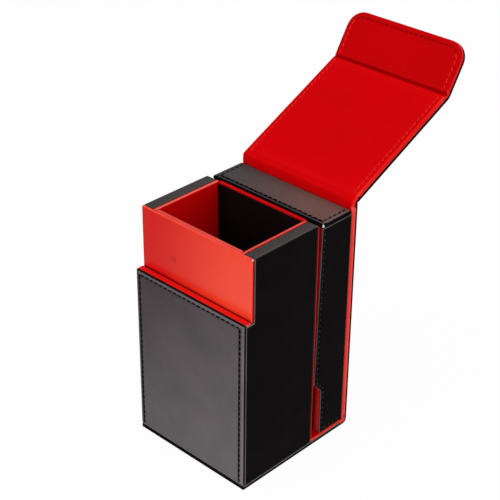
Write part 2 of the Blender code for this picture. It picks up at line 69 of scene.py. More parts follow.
X_AXIS = (1, 0, 0)
Y_AXIS = (0, 1, 0)
Z_AXIS = (0, 0, 1)
TO_FRONT = (0, -1, 0)
TO_FLOOR = (0, 0, -1)
SIDES = ((-1, "left"), (1, "right"))
RANDOM = random.Random(11)

# Places and sizes of the CAD model that the pieces here repeat
HALF_WIDTH = 50.0 * MM
FRONT_Y = -52.9 * MM
REAR_Y = 52.9 * MM
PANEL_THICKNESS = 5.4 * MM
FOLD_RADIUS = PANEL_THICKNESS / 2
TIGHTEST_FOLD = math.radians(83.0)
BOARD_END = FOLD_RADIUS / math.tan(TIGHTEST_FOLD / 2)
FIT_GAP = 0.3 * MM
SKIN_THICKNESS = 1.2 * MM
SKIN_STACK = SKIN_THICKNESS + FIT_GAP
BASE_SKIN_THICKNESS = 2.8 * MM
BASE_STACK = BASE_SKIN_THICKNESS + FIT_GAP
BASE_PIVOT = (REAR_Y - FOLD_RADIUS, FOLD_RADIUS)
BASE_END = BASE_PIVOT[0] - BOARD_END
LID_PIVOT = (BASE_PIVOT[0], 179.1 * MM)
LID_SPAN = 103.8 * MM
LID_ANGLE = math.radians(25.5)
FLAP_ANGLE = math.radians(58.0)
FLAP_PIVOT = (
    LID_PIVOT[0] + LID_SPAN * math.cos(LID_ANGLE),
    LID_PIVOT[1] + LID_SPAN * math.sin(LID_ANGLE),
)
FLAP_LENGTH = 36.6 * MM
FLAP_CORNER_RADIUS = 12.5 * MM
FRONT_PANEL_HEIGHT = 130.8 * MM
LEDGE_BOTTOM = 129.5 * MM
TOWER_TOP = 175.8 * MM
TOWER_FRONT_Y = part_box("front_board")[0][1]
TOWER_REAR_Y = 14.0 * MM
SIDE_WALL_FRONT_Y = -44.2 * MM
WALL_INNER_X = 41.5 * MM
LINING_OUTER_X = 41.2 * MM
TRAY_FRONT_TOP = 18.9 * MM
TRAY_FRONT_NOTCH = 16.2 * MM
TRAY_REAR_Y = 47.2 * MM
TRAY_FLOOR_Z = 5.7 * MM
TRAY_SKIN_INNER_X = 48.7 * MM
TRAY_SKIN_TOP = 171.1 * MM
TRAY_LINING_INNER_X = 43.4 * MM
TRAY_LINING_OUTER_X = 48.4 * MM
TRAY_LINING_TOP = 171.4 * MM
NOTCH_DEPTH = 7.4 * MM
NOTCH_HEIGHT = 36.2 * MM
NOTCH_CHAMFER = 8.4 * MM

# How a mesh is made
ARC_STEPS = 5
CORNER_STEPS = 6
POINT_SPACING = 3.0 * MM
LOFT_SPACING = 8 * MM
TIGHTEST_CORNER = 0.12 * MM
MERGE_DISTANCE = 0.004 * MM
SHORTEST_EDGE = 0.002 * MM
SHARP_ANGLE = math.radians(50)

# How leather lies on a board
EDGE_ROLL = 0.16 * MM
FOOT_CAP = 0.4 * MM
FACE_CAP = 0.5 * MM
CROWN_REACH = 14 * MM
BOX_CROWN_REACH = 8 * MM
END_CROWN_REACH = 10 * MM
CROWN_CAP = 1 * MM
CROWN_SHARES = (0.15, 0.35, 0.6, 0.85, 1.0)
SEAM_INSET = 3.6 * MM
LINING_SEAM_INSET = SEAM_INSET + 0.6 * MM
TRAY_SEAM_INSET = 2.6 * MM
END_SEAM_INSET = 3.9 * MM
SEAM_HALF_WIDTH = 1.0 * MM
SEAM_DEPTH = 0.42 * MM
TRAY_SEAM_DEPTH = 0.3 * MM
SEAM_DIPS = ((-1.5, 0), (-1.0, 0.10), (-0.5, 0.65), (0, 1), (0.5, 0.65), (1.0, 0.10), (1.5, 0))
LEFT_SEAM_SHIFT = -0.6 * MM
RIGHT_SEAM_SHIFT = -0.8 * MM
SEAM_FADE_START = 0.5 * MM
SEAM_FADE_LENGTH = 2 * MM
SIDE_WRAP = 0.1 * MM
# Width of the painted highlight along the front panel's right and top margins
ROLL_HIGHLIGHT_REACH = 2.4 * MM
# Band along the tray end's front edge that takes painted shade
END_SHADE_BAND = 3.3 * MM
END_LIT_BAND = (1.0 * MM, 1.8 * MM)

# Stitches
STITCH_PITCH = 4.25 * MM
STITCH_LENGTH = 4.05 * MM
TRAY_STITCH_LENGTH = 1.1 * MM
STITCH_RADIUS = 0.54 * MM
FRONT_STITCH_RADIUS = 0.64 * MM
END_STITCH_RADIUS = 0.52 * MM
TRAY_STITCH_RADIUS = 0.26 * MM
STITCH_LIFT = 0.12 * MM
STITCH_DIVE = 0.30 * MM
STITCH_SLANT = 0.16
SLANT_SPREAD = 0.05
STITCH_SIZES = (0.93, 1.04)
STITCH_SIDES = 7
STITCH_WIDTHS = ((-1, 0.25), (-0.82, 0.72), (-0.4, 1), (0.0, 1), (0.4, 1), (0.82, 0.72), (1, 0.25))
# Beyond this the flap's lining stitches take the painted highlight
LIT_THREAD_X = HALF_WIDTH - 6 * MM

# Folds, with the places along their flats in millimetres
FOLD_STATIONS = (4.4, 3.6, 3.0, 2.4, 1.9, 1.4, 1.0, 0.6, 0.25)
FOLD_TURNS = 10
FOLD_SETBACK = 0.03 * MM
GROOVE_REACH = 0.8 * MM
GROOVE_TOP = 1.6 * MM
SKIN_GROOVE = 0.3 * MM
SKIN_END_ROOM = 0.4 * MM
# Band about the flap's fold line that takes painted shade
CREASE_SHADE_START = -0.9 * MM
CREASE_SHADE_END = 1.4 * MM


# Materials

# Features per metre in the leather's patterns
CLOUDS = 24.0
WAVES = 30.0
GLOSS_PATCHES = 70.0
CREASES = 210.0
SPECKS = 950.0
PEBBLES = 1500.0

IMPRINT_TONE = (110, 0, 0)
IMPRINT_STRENGTH = 0.22
IMPRINT_FADE = (-0.8 * MM, 0.4 * MM)
# Pointiness over which edges turn to the pale tone: partly rubbing, partly a painted highlight
EDGE_RUB_AND_HIGHLIGHT = (0.515, 0.62, 0.0, 0.7)


def linear(colour):
    """Linear colour of an 8-bit display colour."""
    shares = [value / 255 for value in colour]
    return (*(s / 12.92 if s <= 0.04045 else ((s + 0.055) / 1.055) ** 2.4 for s in shares), 1)


def fill(tree, node, sockets):
    """Each socket of the node takes its value, or a link where that is another node's output."""
    for key, value in sockets.items():
        if isinstance(value, bpy.types.NodeSocket):
            tree.links.new(value, node.inputs[key])
        else:
            node.inputs[key].default_value = value


class Nodes:
    """A material's node tree, with short calls that add a node and give its output."""

    def __init__(self, name):
        self.material = bpy.data.materials.new(name)
        self.material.use_nodes = True
        self.tree = self.material.node_tree
        self.shader = self.tree.nodes["Principled BSDF"]
        self.place = self.add("ShaderNodeTexCoord").outputs["Object"]

    def add(self, kind, sockets=None, **settings):
        node = self.tree.nodes.new(kind)
        for key, value in settings.items():
            setattr(node, key, value)
        fill(self.tree, node, sockets or {})
        return node

    def shade(self, sockets):
        fill(self.tree, self.shader, sockets)

    def x_place(self):
        return self.add("ShaderNodeSeparateXYZ", {0: self.place}).outputs["X"]

    def stretched(self, scale):
        node = self.add("ShaderNodeMapping", {"Scale": scale, "Vector": self.place})
        return node.outputs["Vector"]

    def noise(self, scale, detail=4.0, rough=0.55, warp=0.0, place=None):
        sockets = {"Scale": scale, "Detail": detail, "Roughness": rough, "Distortion": warp}
        sockets["Vector"] = place or self.place
        return self.add("ShaderNodeTexNoise", sockets).outputs["Fac"]

    def cells(self, scale):
        sockets = {"Scale": scale, "Vector": self.place}
        node = self.add("ShaderNodeTexVoronoi", sockets, feature="SMOOTH_F1")
        return node.outputs["Distance"]

    def spread(self, source, low, high, to_low=0.0, to_high=1.0):
        """Smooth step of a value from one range to another."""
        sockets = {"From Min": low, "From Max": high, "To Min": to_low, "To Max": to_high}
        sockets["Value"] = source
        node = self.add("ShaderNodeMapRange", sockets, interpolation_type="SMOOTHSTEP")
        return node.outputs["Result"]

    def mix(self, share, first, second):
        """Mix of two colours, whose sockets on the node are 6, 7 and the output 2."""
        sockets = {0: share, 6: first, 7: second}
        return self.add("ShaderNodeMix", sockets, data_type="RGBA").outputs[2]

    def compute(self, operation, first, second):
        node = self.add("ShaderNodeMath", {0: first, 1: second}, operation=operation)
        return node.outputs[0]

    def bump(self, height, distance, strength=1.0, below=None):
        sockets = {"Height": height, "Distance": distance, "Strength": strength}
        if below:
            sockets["Normal"] = below
        return self.add("ShaderNodeBump", sockets).outputs["Normal"]


def leather(
    name, tone, deep, pale_tone, roughness, specular,
    grain=0.05, spread=0.05, flecks=0.10, drift=None, mark=None,
):
    """Coated leatherette: cloudy tone, fine pebble grain, soft creases, and paler edges, partly
    rubbed and partly a painted highlight.

    grain is the pebbles' depth in millimetres, and spread how far the roughness varies.
    drift is a colour that it turns to on the left, and the two places between which it turns.
    mark is the X, Z and radius of the imprint that a magnet behind it has left.
    """
    m = Nodes(name)
    cloud = m.spread(m.noise(CLOUDS, 6.0, 0.6, 0.4), 0.36, 0.66)
    speck = m.spread(m.noise(SPECKS, 3.0, 0.6), 0.40, 0.72)
    base = m.mix(cloud, linear(deep), linear(tone))
    if drift:
        left_tone, (left_x, right_x) = drift
        base = m.mix(m.spread(m.x_place(), left_x, right_x), linear(left_tone), base)
    if mark:
        mark_x, mark_z, radius = mark
        sockets = {0: m.stretched((1, 0, 1)), 1: (mark_x, 0, mark_z)}
        away = m.add("ShaderNodeVectorMath", sockets, operation="DISTANCE")
        inner, outer = (radius + fade for fade in IMPRINT_FADE)
        imprint = m.spread(away.outputs["Value"], inner, outer, IMPRINT_STRENGTH, 0.0)
        base = m.mix(imprint, base, linear(IMPRINT_TONE))
    base = m.mix(m.spread(speck, 0.0, 1.0, 0.0, flecks), base, linear(pale_tone))
    edge = m.add("ShaderNodeNewGeometry").outputs["Pointiness"]
    patches = m.noise(GLOSS_PATCHES, 5.0, 0.6)
    pebbled = m.bump(m.cells(PEBBLES), grain * MM, 0.6)
    creased = m.bump(m.noise(CREASES, 4.0, 0.5, 1.2), grain * 2 * MM, 0.5, pebbled)
    m.shade({
        # Edges turn to the pale tone, a painted highlight as well as rubbing
        "Base Color": m.mix(m.spread(edge, *EDGE_RUB_AND_HIGHLIGHT), base, linear(pale_tone)),
        "Roughness": m.spread(patches, 0.3, 0.7, roughness - spread, roughness + spread),
        "Specular IOR Level": specular,
        "Normal": m.bump(m.noise(WAVES, 2.0, 0.4), grain * 7 * MM, 0.6, creased),
    })
    return m.material


def thread(name, tone, pale_tone):
    """Matt thread with a twisted grain."""
    m = Nodes(name)
    fibres = m.spread(m.noise(2600.0, 2.0), 0.4, 0.7)
    m.shade({
        "Base Color": m.mix(fibres, linear(tone), linear(pale_tone)),
        "Roughness": m.spread(m.noise(500.0), 0.3, 0.7, 0.45, 0.7),
        "Specular IOR Level": 0.02,
        "Normal": m.bump(m.noise(3800.0, 2.0), 0.06 * MM),
    })
    return m.material


def fibre_board(name, tone, deep):
    """Matt board of pressed fibres, which lie flat."""
    m = Nodes(name)
    fibres = m.noise(420.0, 6.0, 0.7, place=m.stretched((1.0, 1.0, 0.35)))
    m.shade({
        "Base Color": m.mix(m.spread(fibres, 0.35, 0.68), linear(deep), linear(tone)),
        "Roughness": m.spread(fibres, 0.3, 0.7, 0.75, 0.92),
        "Specular IOR Level": 0.08,
        "Normal": m.bump(fibres, 0.12 * MM),
    })
    return m.material


def nickel(name):
    """Plated magnet with faint grinding marks."""
    m = Nodes(name)
    rings = m.noise(300.0, 3.0, 0.5, place=m.stretched((1.0, 4.0, 1.0)))
    m.shade({
        "Base Color": m.mix(
            m.spread(rings, 0.3, 0.7), (0.50, 0.49, 0.46, 1), (0.62, 0.61, 0.58, 1)
        ),
        "Metallic": 1.0,
        "Roughness": m.spread(m.noise(140.0), 0.3, 0.7, 0.22, 0.38),
        "Normal": m.bump(rings, 0.02 * MM),
    })
    return m.material


FRONT_LEATHER = leather(
    "front_leather", (66, 56, 60), (55, 46, 49), (98, 90, 93), 0.36, 0.68, spread=0.08
)
# Painted highlight: the front panel's right and top margins, lighter where the rolled edge catches
# the light
ROLLED_MARGIN_HIGHLIGHT = leather("rolled_margin_painted_highlight", (90, 80, 82), (82, 72, 75), (116, 108, 110), 0.36, 0.68)
COVER_LEATHER = leather("cover_leather", (44, 40, 41), (36, 33, 34), (92, 88, 88), 0.46, 0.25)
# Black leather of the walls and the tray's sides; on skin edges and faces in gaps it also stands
# for painted shade
BLACK_LEATHER_AND_SHADE = leather(
    "black_leather_and_painted_shade", (15, 10, 12), (11, 7, 8), (50, 46, 47), 0.50, 0.01, flecks=0.01
)
# Painted light: the black walls' tops, lighter because they face the light from above
WALL_TOP_LIGHT = leather(
    "wall_top_painted_light", (60, 54, 55), (52, 48, 48), (100, 95, 95), 0.48, 0.20
)
LIT_EDGE_LEATHER = leather(
    "lit_edge_leather", (96, 90, 92), (82, 76, 78), (130, 124, 126), 0.42, 0.30
)
# Painted light: the top of the tray end's black leather, lighter because it faces the light; greyer
# on the left, a change of tone
END_TOP_LIGHT = leather(
    "end_top_painted_light", (108, 74, 67), (98, 69, 64), (134, 112, 104), 0.46, 0.20,
    drift=((64, 60, 61), (-45 * MM, 35 * MM)),
)
# Pale corner spots: partly fibre rubbed bare, partly a painted highlight on the corners
CORNER_RUB_AND_GLINT = leather(
    "corner_rub_and_painted_glint", (214, 206, 200), (180, 168, 164), (236, 232, 228), 0.55, 0.20
)
RED_LEATHER = leather(
    "red_leather", (212, 0, 6), (206, 0, 5), (232, 12, 12), 0.46, 0.02, flecks=0.02
)
# Painted shade: the flap's red lining, the same leather as the lid's, darker because less light
# falls on it
FLAP_RED_SHADE = leather(
    "flap_red_painted_shade", (192, 0, 5), (186, 0, 4), (216, 10, 10), 0.46, 0.02, flecks=0.02
)
# Painted light: the red front board's orange, brightly lit look, turning darker red towards the
# left; the imprint is a real mark
RED_FRONT_LIGHT = leather(
    "red_front_painted_light", (236, 58, 26), (233, 54, 23), (246, 76, 50), 0.30, 0.70, 0.03, 0.02,
    drift=((207, 2, 0), (-44 * MM, 40 * MM)), mark=(-20.65 * MM, 147.1 * MM, 3.0 * MM),
)
# Painted highlight: rounded red edges of the lid and flap, and the ledge, brighter where they catch
# the light
LID_EDGE_HIGHLIGHT = leather("lid_edge_painted_highlight", (230, 26, 22), (222, 18, 16), (240, 64, 54), 0.44, 0.06)
# Painted shade in the flap's crease
CREASE_SHADE = leather("crease_painted_shade", (170, 0, 2), (162, 0, 2), (196, 6, 8), 0.5, 0.02)
# Painted highlight: red edges that catch the light, and the tray lining's edges by the notch
RED_EDGE_HIGHLIGHT = leather("red_edge_painted_highlight", (246, 44, 32), (238, 38, 28), (252, 90, 70), 0.40, 0.25)
# Painted light: the top faces of red rims and ledge ends, lighter because they face the light from
# above
RED_RIM_TOP_LIGHT = leather("red_rim_painted_top_light", (236, 74, 58), (224, 58, 46), (250, 120, 96), 0.40, 0.30)
# Painted shade: red faces deep in the gaps, the tower's rear cover and the hidden sides of the rims
# and the ledge
RED_COVER_SHADE = leather(
    "rear_cover_painted_shade", (158, 2, 6), (148, 0, 5), (196, 40, 36), 0.48, 0.06, flecks=0.03
)
# Painted highlight on the base lining's rounded edges
BASE_RIM_HIGHLIGHT = leather("base_rim_painted_highlight", (238, 66, 36), (228, 54, 30), (250, 110, 76), 0.44, 0.10)
# Painted shade: red end faces in narrow gaps
RED_GAP_SHADE = leather("red_gap_painted_shade", (128, 2, 6), (112, 0, 4), (170, 40, 36), 0.48, 0.10)
WELL_LEATHER = leather(
    "well_leather", (214, 2, 6), (204, 0, 4), (230, 20, 18), 0.48, 0.08, flecks=0.03
)
DARK_THREAD = thread("dark_thread", (5, 4, 4), (14, 12, 13))
# Painted glints: the tray sides' dark thread drawn pale where its sheen catches the light
THREAD_GLINT = thread("thread_painted_glint", (84, 78, 80), (120, 114, 116))
RED_THREAD = thread("red_thread", (138, 0, 2), (168, 4, 6))
# Painted highlight: the red thread brighter where it catches the light
LIT_RED_THREAD = thread("red_thread_painted_highlight", (214, 16, 14), (240, 60, 50))
DARK_BOARD = fibre_board("dark_board_finish", (14, 4, 4), (8, 2, 2))
CORE_BOARD = fibre_board("core_board_finish", (150, 136, 118), (118, 104, 88))
NICKEL = nickel("nickel_finish")


# Planes: a place on one is across, along and proud of it

class Plane:
    def __init__(self, origin, across, along, proud):
        self.origin = Vector(origin)
        self.axes = (Vector(across), Vector(along), Vector(proud))

    def at(self, across, along, proud):
        return self.origin + self.axes[0] * across + self.axes[1] * along + self.axes[2] * proud


class ShiftedSeamPlane(Plane):
    """The front's plane, on which both side seams are shifted to the left of their places."""

    def at(self, across, along, proud):
        away = min(abs(HALF_WIDTH - SEAM_INSET - abs(across)) / SEAM_INSET, 1)
        shift = LEFT_SEAM_SHIFT if across < 0 else RIGHT_SEAM_SHIFT
        return super().at(across + shift * math.cos(math.pi / 2 * away) ** 2, along, proud)


def way(angle):
    """Unit direction in the YZ plane at an angle from +Y towards +Z."""
    return Vector((0, math.cos(angle), math.sin(angle)))


def board_plane(pivot, angle, proud=1):
    """Plane of a cover board from its fold: proud is 1 for the lined side, -1 for the skin side."""
    return Plane((0, *pivot), X_AXIS, way(angle), proud * way(angle + math.pi / 2))


LEVEL = Plane((0, 0, 0), X_AXIS, Y_AXIS, Z_AXIS)
UNDERSIDE = Plane((0, 0, BASE_SKIN_THICKNESS), X_AXIS, Y_AXIS, TO_FLOOR)
FACING_FRONT = Plane((0, 0, 0), X_AXIS, Z_AXIS, TO_FRONT)
FACING_REAR = Plane((0, 0, 0), X_AXIS, Z_AXIS, Y_AXIS)
FACING_RIGHT = Plane((0, 0, 0), Y_AXIS, Z_AXIS, X_AXIS)
FACING_LEFT = Plane((0, 0, 0), Y_AXIS, Z_AXIS, (-1, 0, 0))
FRONT_SKIN = ShiftedSeamPlane((0, FRONT_Y + SKIN_THICKNESS, 0), X_AXIS, Z_AXIS, TO_FRONT)


# Outlines: corners with a radius each, counter-clockwise

def rectangle(low, high, radius):
    return [
        (low[0], low[1], radius),
        (high[0], low[1], radius),
        (high[0], high[1], radius),
        (low[0], high[1], radius),
    ]


def moved_in(corners, inset):
    """Each corner after the move: its place, the ways to it and from it, its turn and radius."""
    places = [Vector(corner[:2]) for corner in corners]
    ways = [(there - here).normalized() for here, there in zip(places, places[1:] + places[:1])]
    moved = []
    for index, (place, after) in enumerate(zip(places, ways)):
        before = ways[index - 1]
        out_before = Vector((before.y, -before.x))
        out_after = Vector((after.y, -after.x))
        slide = (out_before + out_after) / (1 + out_before.dot(out_after))
        turn = math.atan2(before.x * after.y - before.y * after.x, before.dot(after))
        radius = corners[index][2]
        radius = max(radius - inset, TIGHTEST_CORNER) if turn > 0 else radius + max(inset, 0)
        moved.append((place - slide * inset, before, after, turn, radius))
    return moved


def drawn_in(corners, inset, spacing=POINT_SPACING):
    """Points of the outline moved inwards by the inset, always the same count, corners rounded."""
    moved = moved_in(corners, inset)
    points = []
    for index, (corner, before, _, turn, radius) in enumerate(moved):
        after_index = (index + 1) % len(corners)
        reach = radius * math.tan(abs(turn) / 2)
        start = corner - before * reach
        side = 1 if turn > 0 else -1
        centre = start + side * radius * Vector((-before.y, before.x))
        arm = start - centre
        for step in range(CORNER_STEPS + 1):
            angle = turn * step / CORNER_STEPS
            points.append(centre + Vector((
                arm.x * math.cos(angle) - arm.y * math.sin(angle),
                arm.x * math.sin(angle) + arm.y * math.cos(angle),
            )))
        side_length = (Vector(corners[after_index][:2]) - Vector(corners[index][:2])).length
        pieces = max(int(round(side_length / spacing)), 1)
        next_corner, next_before, _, next_turn, next_radius = moved[after_index]
        first = points[-1]
        last = next_corner - next_before * next_radius * math.tan(abs(next_turn) / 2)
        for step in range(1, pieces):
            points.append(first.lerp(last, step / pieces))
    return points


# Meshes

def board_profile(
    low, high, foot_radius, edge_radius, seam=None, crown=0.0, crown_reach=CROWN_REACH, split=None
):
    """Rings of a closed board from the middle of its foot to its crown: inset, height, seam dip.

    split is the height on its side where the colour changes.
    """
    rings = [(foot_radius + FOOT_CAP, low, 0)]
    turns = [math.pi / 2 * step / ARC_STEPS for step in range(ARC_STEPS + 1)]
    for angle in turns:
        up = foot_radius * (1 - math.cos(angle))
        rings.append((foot_radius * (1 - math.sin(angle)), low + up, 0))
    if split is not None:
        rings.append((0, split, 0))
    for angle in turns:
        down = edge_radius * (1 - math.sin(angle))
        rings.append((edge_radius * (1 - math.cos(angle)), high - down, 0))

    def crowned(inset):
        share = min(max((inset - edge_radius) / crown_reach, 0), 1)
        return high + crown * share * (2 - share)

    if seam:
        left = seam - SEAM_HALF_WIDTH
        rings.append(((edge_radius + left) / 2, crowned(0) + EDGE_ROLL, 0))
        for share, dip in SEAM_DIPS:
            inset = seam + share * SEAM_HALF_WIDTH
            rings.append((inset, crowned(inset) + (EDGE_ROLL * 0.5 if share < -1 else 0), dip))
    if crown:
        start = (seam or edge_radius) + 2 * SEAM_HALF_WIDTH
        insets = [start + (crown_reach - start) * share for share in CROWN_SHARES]
        rings += [(inset, crowned(inset), 0) for inset in insets + [crown_reach + CROWN_CAP]]
    else:
        rings.append((seam + 2.2 * SEAM_HALF_WIDTH if seam else edge_radius + FACE_CAP, high, 0))
    return rings


def add_tube(shape, loops):
    """Faces through loops of the same count of points, with a cap on the first and the last."""
    rows = [[shape.verts.new(point) for point in loop] for loop in loops]
    count = len(rows[0])
    for lower, upper in zip(rows, rows[1:]):
        for index in range(count):
            after = (index + 1) % count
            shape.faces.new((lower[index], lower[after], upper[after], upper[index]))
    shape.faces.new(list(reversed(rows[0])))
    shape.faces.new(rows[-1])


def finished_mesh(name, shape):
    bmesh.ops.recalc_face_normals(shape, faces=shape.faces)
    mesh = bpy.data.meshes.new(name)
    shape.to_mesh(mesh)
    shape.free()
    return mesh


def closed_mesh(name, loops):
    shape = bmesh.new()
    add_tube(shape, loops)
    bmesh.ops.remove_doubles(shape, verts=shape.verts, dist=MERGE_DISTANCE)
    bmesh.ops.dissolve_degenerate(shape, edges=shape.edges, dist=SHORTEST_EDGE)
    return finished_mesh(name, shape)


def padded_board(name, corners, profile, plane, stitched=None, depth=SEAM_DEPTH):
    """Closed board of an outline; stitched(point) is 1 where the seam's channel is drawn in."""
    marks = [stitched(point) if stitched else 0 for point in drawn_in(corners, 0)]
    loops = []
    for inset, height, dip in profile:
        points = drawn_in(corners, inset)
        loops.append([
            plane.at(point.x, point.y, height - dip * mark * depth)
            for point, mark in zip(points, marks)
        ])
    return closed_mesh(name, loops)


def strip_section(profile):
    """Section of a board across its width: places across it and their heights, right round."""
    left = [(-HALF_WIDTH + inset, height - dip * SEAM_DEPTH) for inset, height, dip in profile]
    return left + [(-across, height) for across, height in reversed(left)]


def lofted_board(name, profile, plane, start, end):
    """Closed board with the same section all along, from start to end."""
    section = strip_section(profile)
    steps = max(int(round((end - start) / LOFT_SPACING)), 1)
    loops = []
    for step in range(steps + 1):
        along = start + (end - start) * step / steps
        loops.append([plane.at(across, along, height) for across, height in section])
    return closed_mesh(name, loops)


# Pieces and their colours

def add_piece(name, mesh, material, body, slot, nodes=()):
    """The mesh as a piece that rides on a body, where one is given, and stands for nodes."""
    piece = bpy.data.objects.new(name, mesh)
    bpy.context.scene.collection.objects.link(piece)
    mesh.materials.append(material)
    mesh.shade_smooth()
    mesh.set_sharp_from_angle(angle=SHARP_ANGLE)
    if body:
        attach(piece, body)
    if nodes:
        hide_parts(*nodes)
    return piece


def board_piece(name, corners, profile, plane, material, body, slot, node, *seam):
    mesh = padded_board(name, corners, profile, plane, *seam)
    return add_piece(name, mesh, material, body, slot, (node,))


def box_piece(
    name, node, radius, material, slot, body="tower", plane=LEVEL, foot=None, crown=0.0
):
    """A node's box again as a soft-edged board, with its face towards the plane's proud side."""
    low, high = (Vector(corner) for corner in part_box(node))
    across, along, proud = (sorted((low.dot(axis), high.dot(axis))) for axis in plane.axes)
    corners = rectangle((across[0], along[0]), (across[1], along[1]), radius)
    foot = radius if foot is None else foot
    profile = board_profile(*proud, foot, radius, crown=crown, crown_reach=BOX_CROWN_REACH)
    return board_piece(name, corners, profile, plane, material, body, slot, node)


def repaint(piece, material, facing=None, within=None):
    """Faces that pass the tests of their outward direction and of their place take the material."""
    mesh = piece.data
    mesh.materials.append(material)
    index = len(mesh.materials) - 1
    for face in mesh.polygons:
        if (not facing or facing(face.normal)) and (not within or within(face.center)):
            face.material_index = index


def rub_and_glint(piece, corner, reach):
    """Pale spot on a corner: fibre rubbed through there, and a painted highlight on it."""
    repaint(piece, CORNER_RUB_AND_GLINT, within=lambda place: (place - Vector(corner)).length < reach)


def turned_from(direction, limit):
    """Test for faces turned away from a board's face, which are its wrapped edges."""
    axis = Vector(direction).normalized()
    return lambda normal: abs(normal.dot(axis)) < limit


def turned_to(direction, limit):
    """Test for faces turned to a direction."""
    axis = Vector(direction).normalized()
    return lambda normal: normal.dot(axis) > limit


def sideways(limit):
    """Test for faces turned to the left or the right."""
    return lambda normal: abs(normal.x) > limit


def below(plane, limit):
    """Test for places lower over the plane than the limit."""
    return lambda place: (place - plane.origin).dot(plane.axes[2]) < limit


# Stitches: each is a short length of thread that dives at both ends

def in_seam(face, depth=SEAM_DEPTH):
    """Height of a stitch in a seam's channel, which is drawn into a face."""
    return face - depth + STITCH_LIFT


def stitch_loops(middle, direction, height, to_world, length, radius):
    """Rings of points round one stitch, from end to end."""
    slant = STITCH_SLANT + RANDOM.uniform(-SLANT_SPREAD, SLANT_SPREAD)
    length *= RANDOM.uniform(*STITCH_SIZES)
    along = Vector((
        direction.x * math.cos(slant) - direction.y * math.sin(slant),
        direction.x * math.sin(slant) + direction.y * math.cos(slant),
    ))
    across = Vector((-along.y, along.x))
    loops = []
    for share, width in STITCH_WIDTHS:
        reach = share * length / 2
        sink = -STITCH_DIVE * share ** 4
        loop = []
        for side in range(STITCH_SIDES):
            angle = 2 * math.pi * side / STITCH_SIDES
            point = middle + along * reach + across * (radius * width) * math.cos(angle)
            rise = radius * width * math.sin(angle)
            loop.append(to_world(point.x, point.y, height + sink + rise))
        loops.append(loop)
    return loops


def along_path(points):
    """Middles and directions of stitches evenly set along an open path."""
    lengths = [0.0]
    for here, there in zip(points, points[1:]):
        lengths.append(lengths[-1] + (there - here).length)
    count = max(int(lengths[-1] / STITCH_PITCH), 1)
    for index in range(count):
        wanted = lengths[-1] * (index + 0.5) / count
        k = next(k for k in range(len(points) - 1) if lengths[k + 1] >= wanted)
        here, there = points[k], points[k + 1]
        share = (wanted - lengths[k]) / (lengths[k + 1] - lengths[k])
        yield here.lerp(there, share), (there - here).normalized()


def stitch_line(
    name, points, height, plane, body, material, slot, length=STITCH_LENGTH, radius=STITCH_RADIUS
):
    """All stitches along a path as one piece."""
    shape = bmesh.new()
    for middle, direction in along_path(points):
        add_tube(shape, stitch_loops(middle, direction, height, plane.at, length, radius))
    return add_piece(name, finished_mesh(name, shape), material, body, slot)


def stitch_runs(names, corners, height, plane, body, radius):
    """Dark stitches along each stretch of a path with corners, which no stitch goes round."""
    for name, start, end in zip(names, corners, corners[1:]):
        path = [Vector(start), Vector(end)]
        stitch_line(name, path, height, plane, body, DARK_THREAD, "cover_skin", radius=radius)


# Folds: a strip that runs flat off one board, turns on the hinge line and runs flat on to the next

class Fold:
    """The turn between two boards, whose angles at rest are before and after."""

    def __init__(self, pivot, before, after, bodies, groove):
        self.pivot = pivot
        self.before = before
        self.after = after
        self.bodies = bodies
        self.groove = groove
        self.middle = Vector((0, *pivot))
        self.tangent = way((before + after) / 2)

    def mitre(self, height):
        """How far from the hinge line the flats meet at a height on the bend's inner side."""
        bend = self.after - self.before
        return abs(height * math.tan(bend / 2)) if height * bend > 0 else 0

    def at(self, turn_share, along, across, height):
        """World place of a strip's point: on the turn, or flat before it or after it."""
        mitre = self.mitre(height)
        if turn_share is None and along <= 0:
            angle = self.before
            reach = min(along, -mitre)
        elif turn_share is None:
            angle = self.after
            reach = max(along, mitre)
        elif mitre:
            angle = self.before
            reach = -mitre
        else:
            angle = self.before + (self.after - self.before) * turn_share
            reach = 0
        place = Vector((across, *self.pivot))
        return place + way(angle) * reach + way(angle + math.pi / 2) * height

    def past_middle(self, place):
        """How far a place lies past the hinge line, along the mean of the two boards."""
        return (place - self.middle).dot(self.tangent)

    def height_of(self, place):
        """Height of a place over the middle layer of the two boards and the turn between them."""
        away = place - self.middle
        away.x = 0
        if away.dot(way(self.before)) <= 0:
            return away.dot(way(self.before + math.pi / 2))
        if away.dot(way(self.after)) >= 0:
            return away.dot(way(self.after + math.pi / 2))
        outwards = way((self.before + self.after + math.pi) / 2)
        return math.copysign(away.length, away.dot(outwards))


def fold_stations():
    """Share of the turn, or None on the flats, and place along them."""
    stations = [(None, -along * MM) for along in FOLD_STATIONS]
    stations += [(step / FOLD_TURNS, 0) for step in range(FOLD_TURNS + 1)]
    return stations + [(None, along * MM) for along in reversed(FOLD_STATIONS)]


def fold_piece(name, fold, profile, sign, groove, material, slot, node):
    """A fold's leather, bent at rest as the boards stand.

    sign is 1 for the lining and -1 for the skin. The groove runs along the hinge line.
    """
    section = strip_section(profile)
    top = max(height for _, height in section)
    loops = []
    for turn_share, along in fold_stations():
        loop = []
        for across, height in section:
            away = max(abs(along) - fold.mitre(sign * height), 0)
            near = math.exp(-((away / GROOVE_REACH) ** 2))
            lift = max(height - (top - GROOVE_TOP), 0) / GROOVE_TOP
            sunk = sign * (height - FOLD_SETBACK - groove * near * lift)
            loop.append(fold.at(turn_share, along, across, sunk))
        loops.append(loop)
    piece = add_piece(name, closed_mesh(name, loops), material, None, slot)
    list(fold.bodies)
    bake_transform(piece)
    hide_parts(node)
    return piece


# The cover's folds and boards

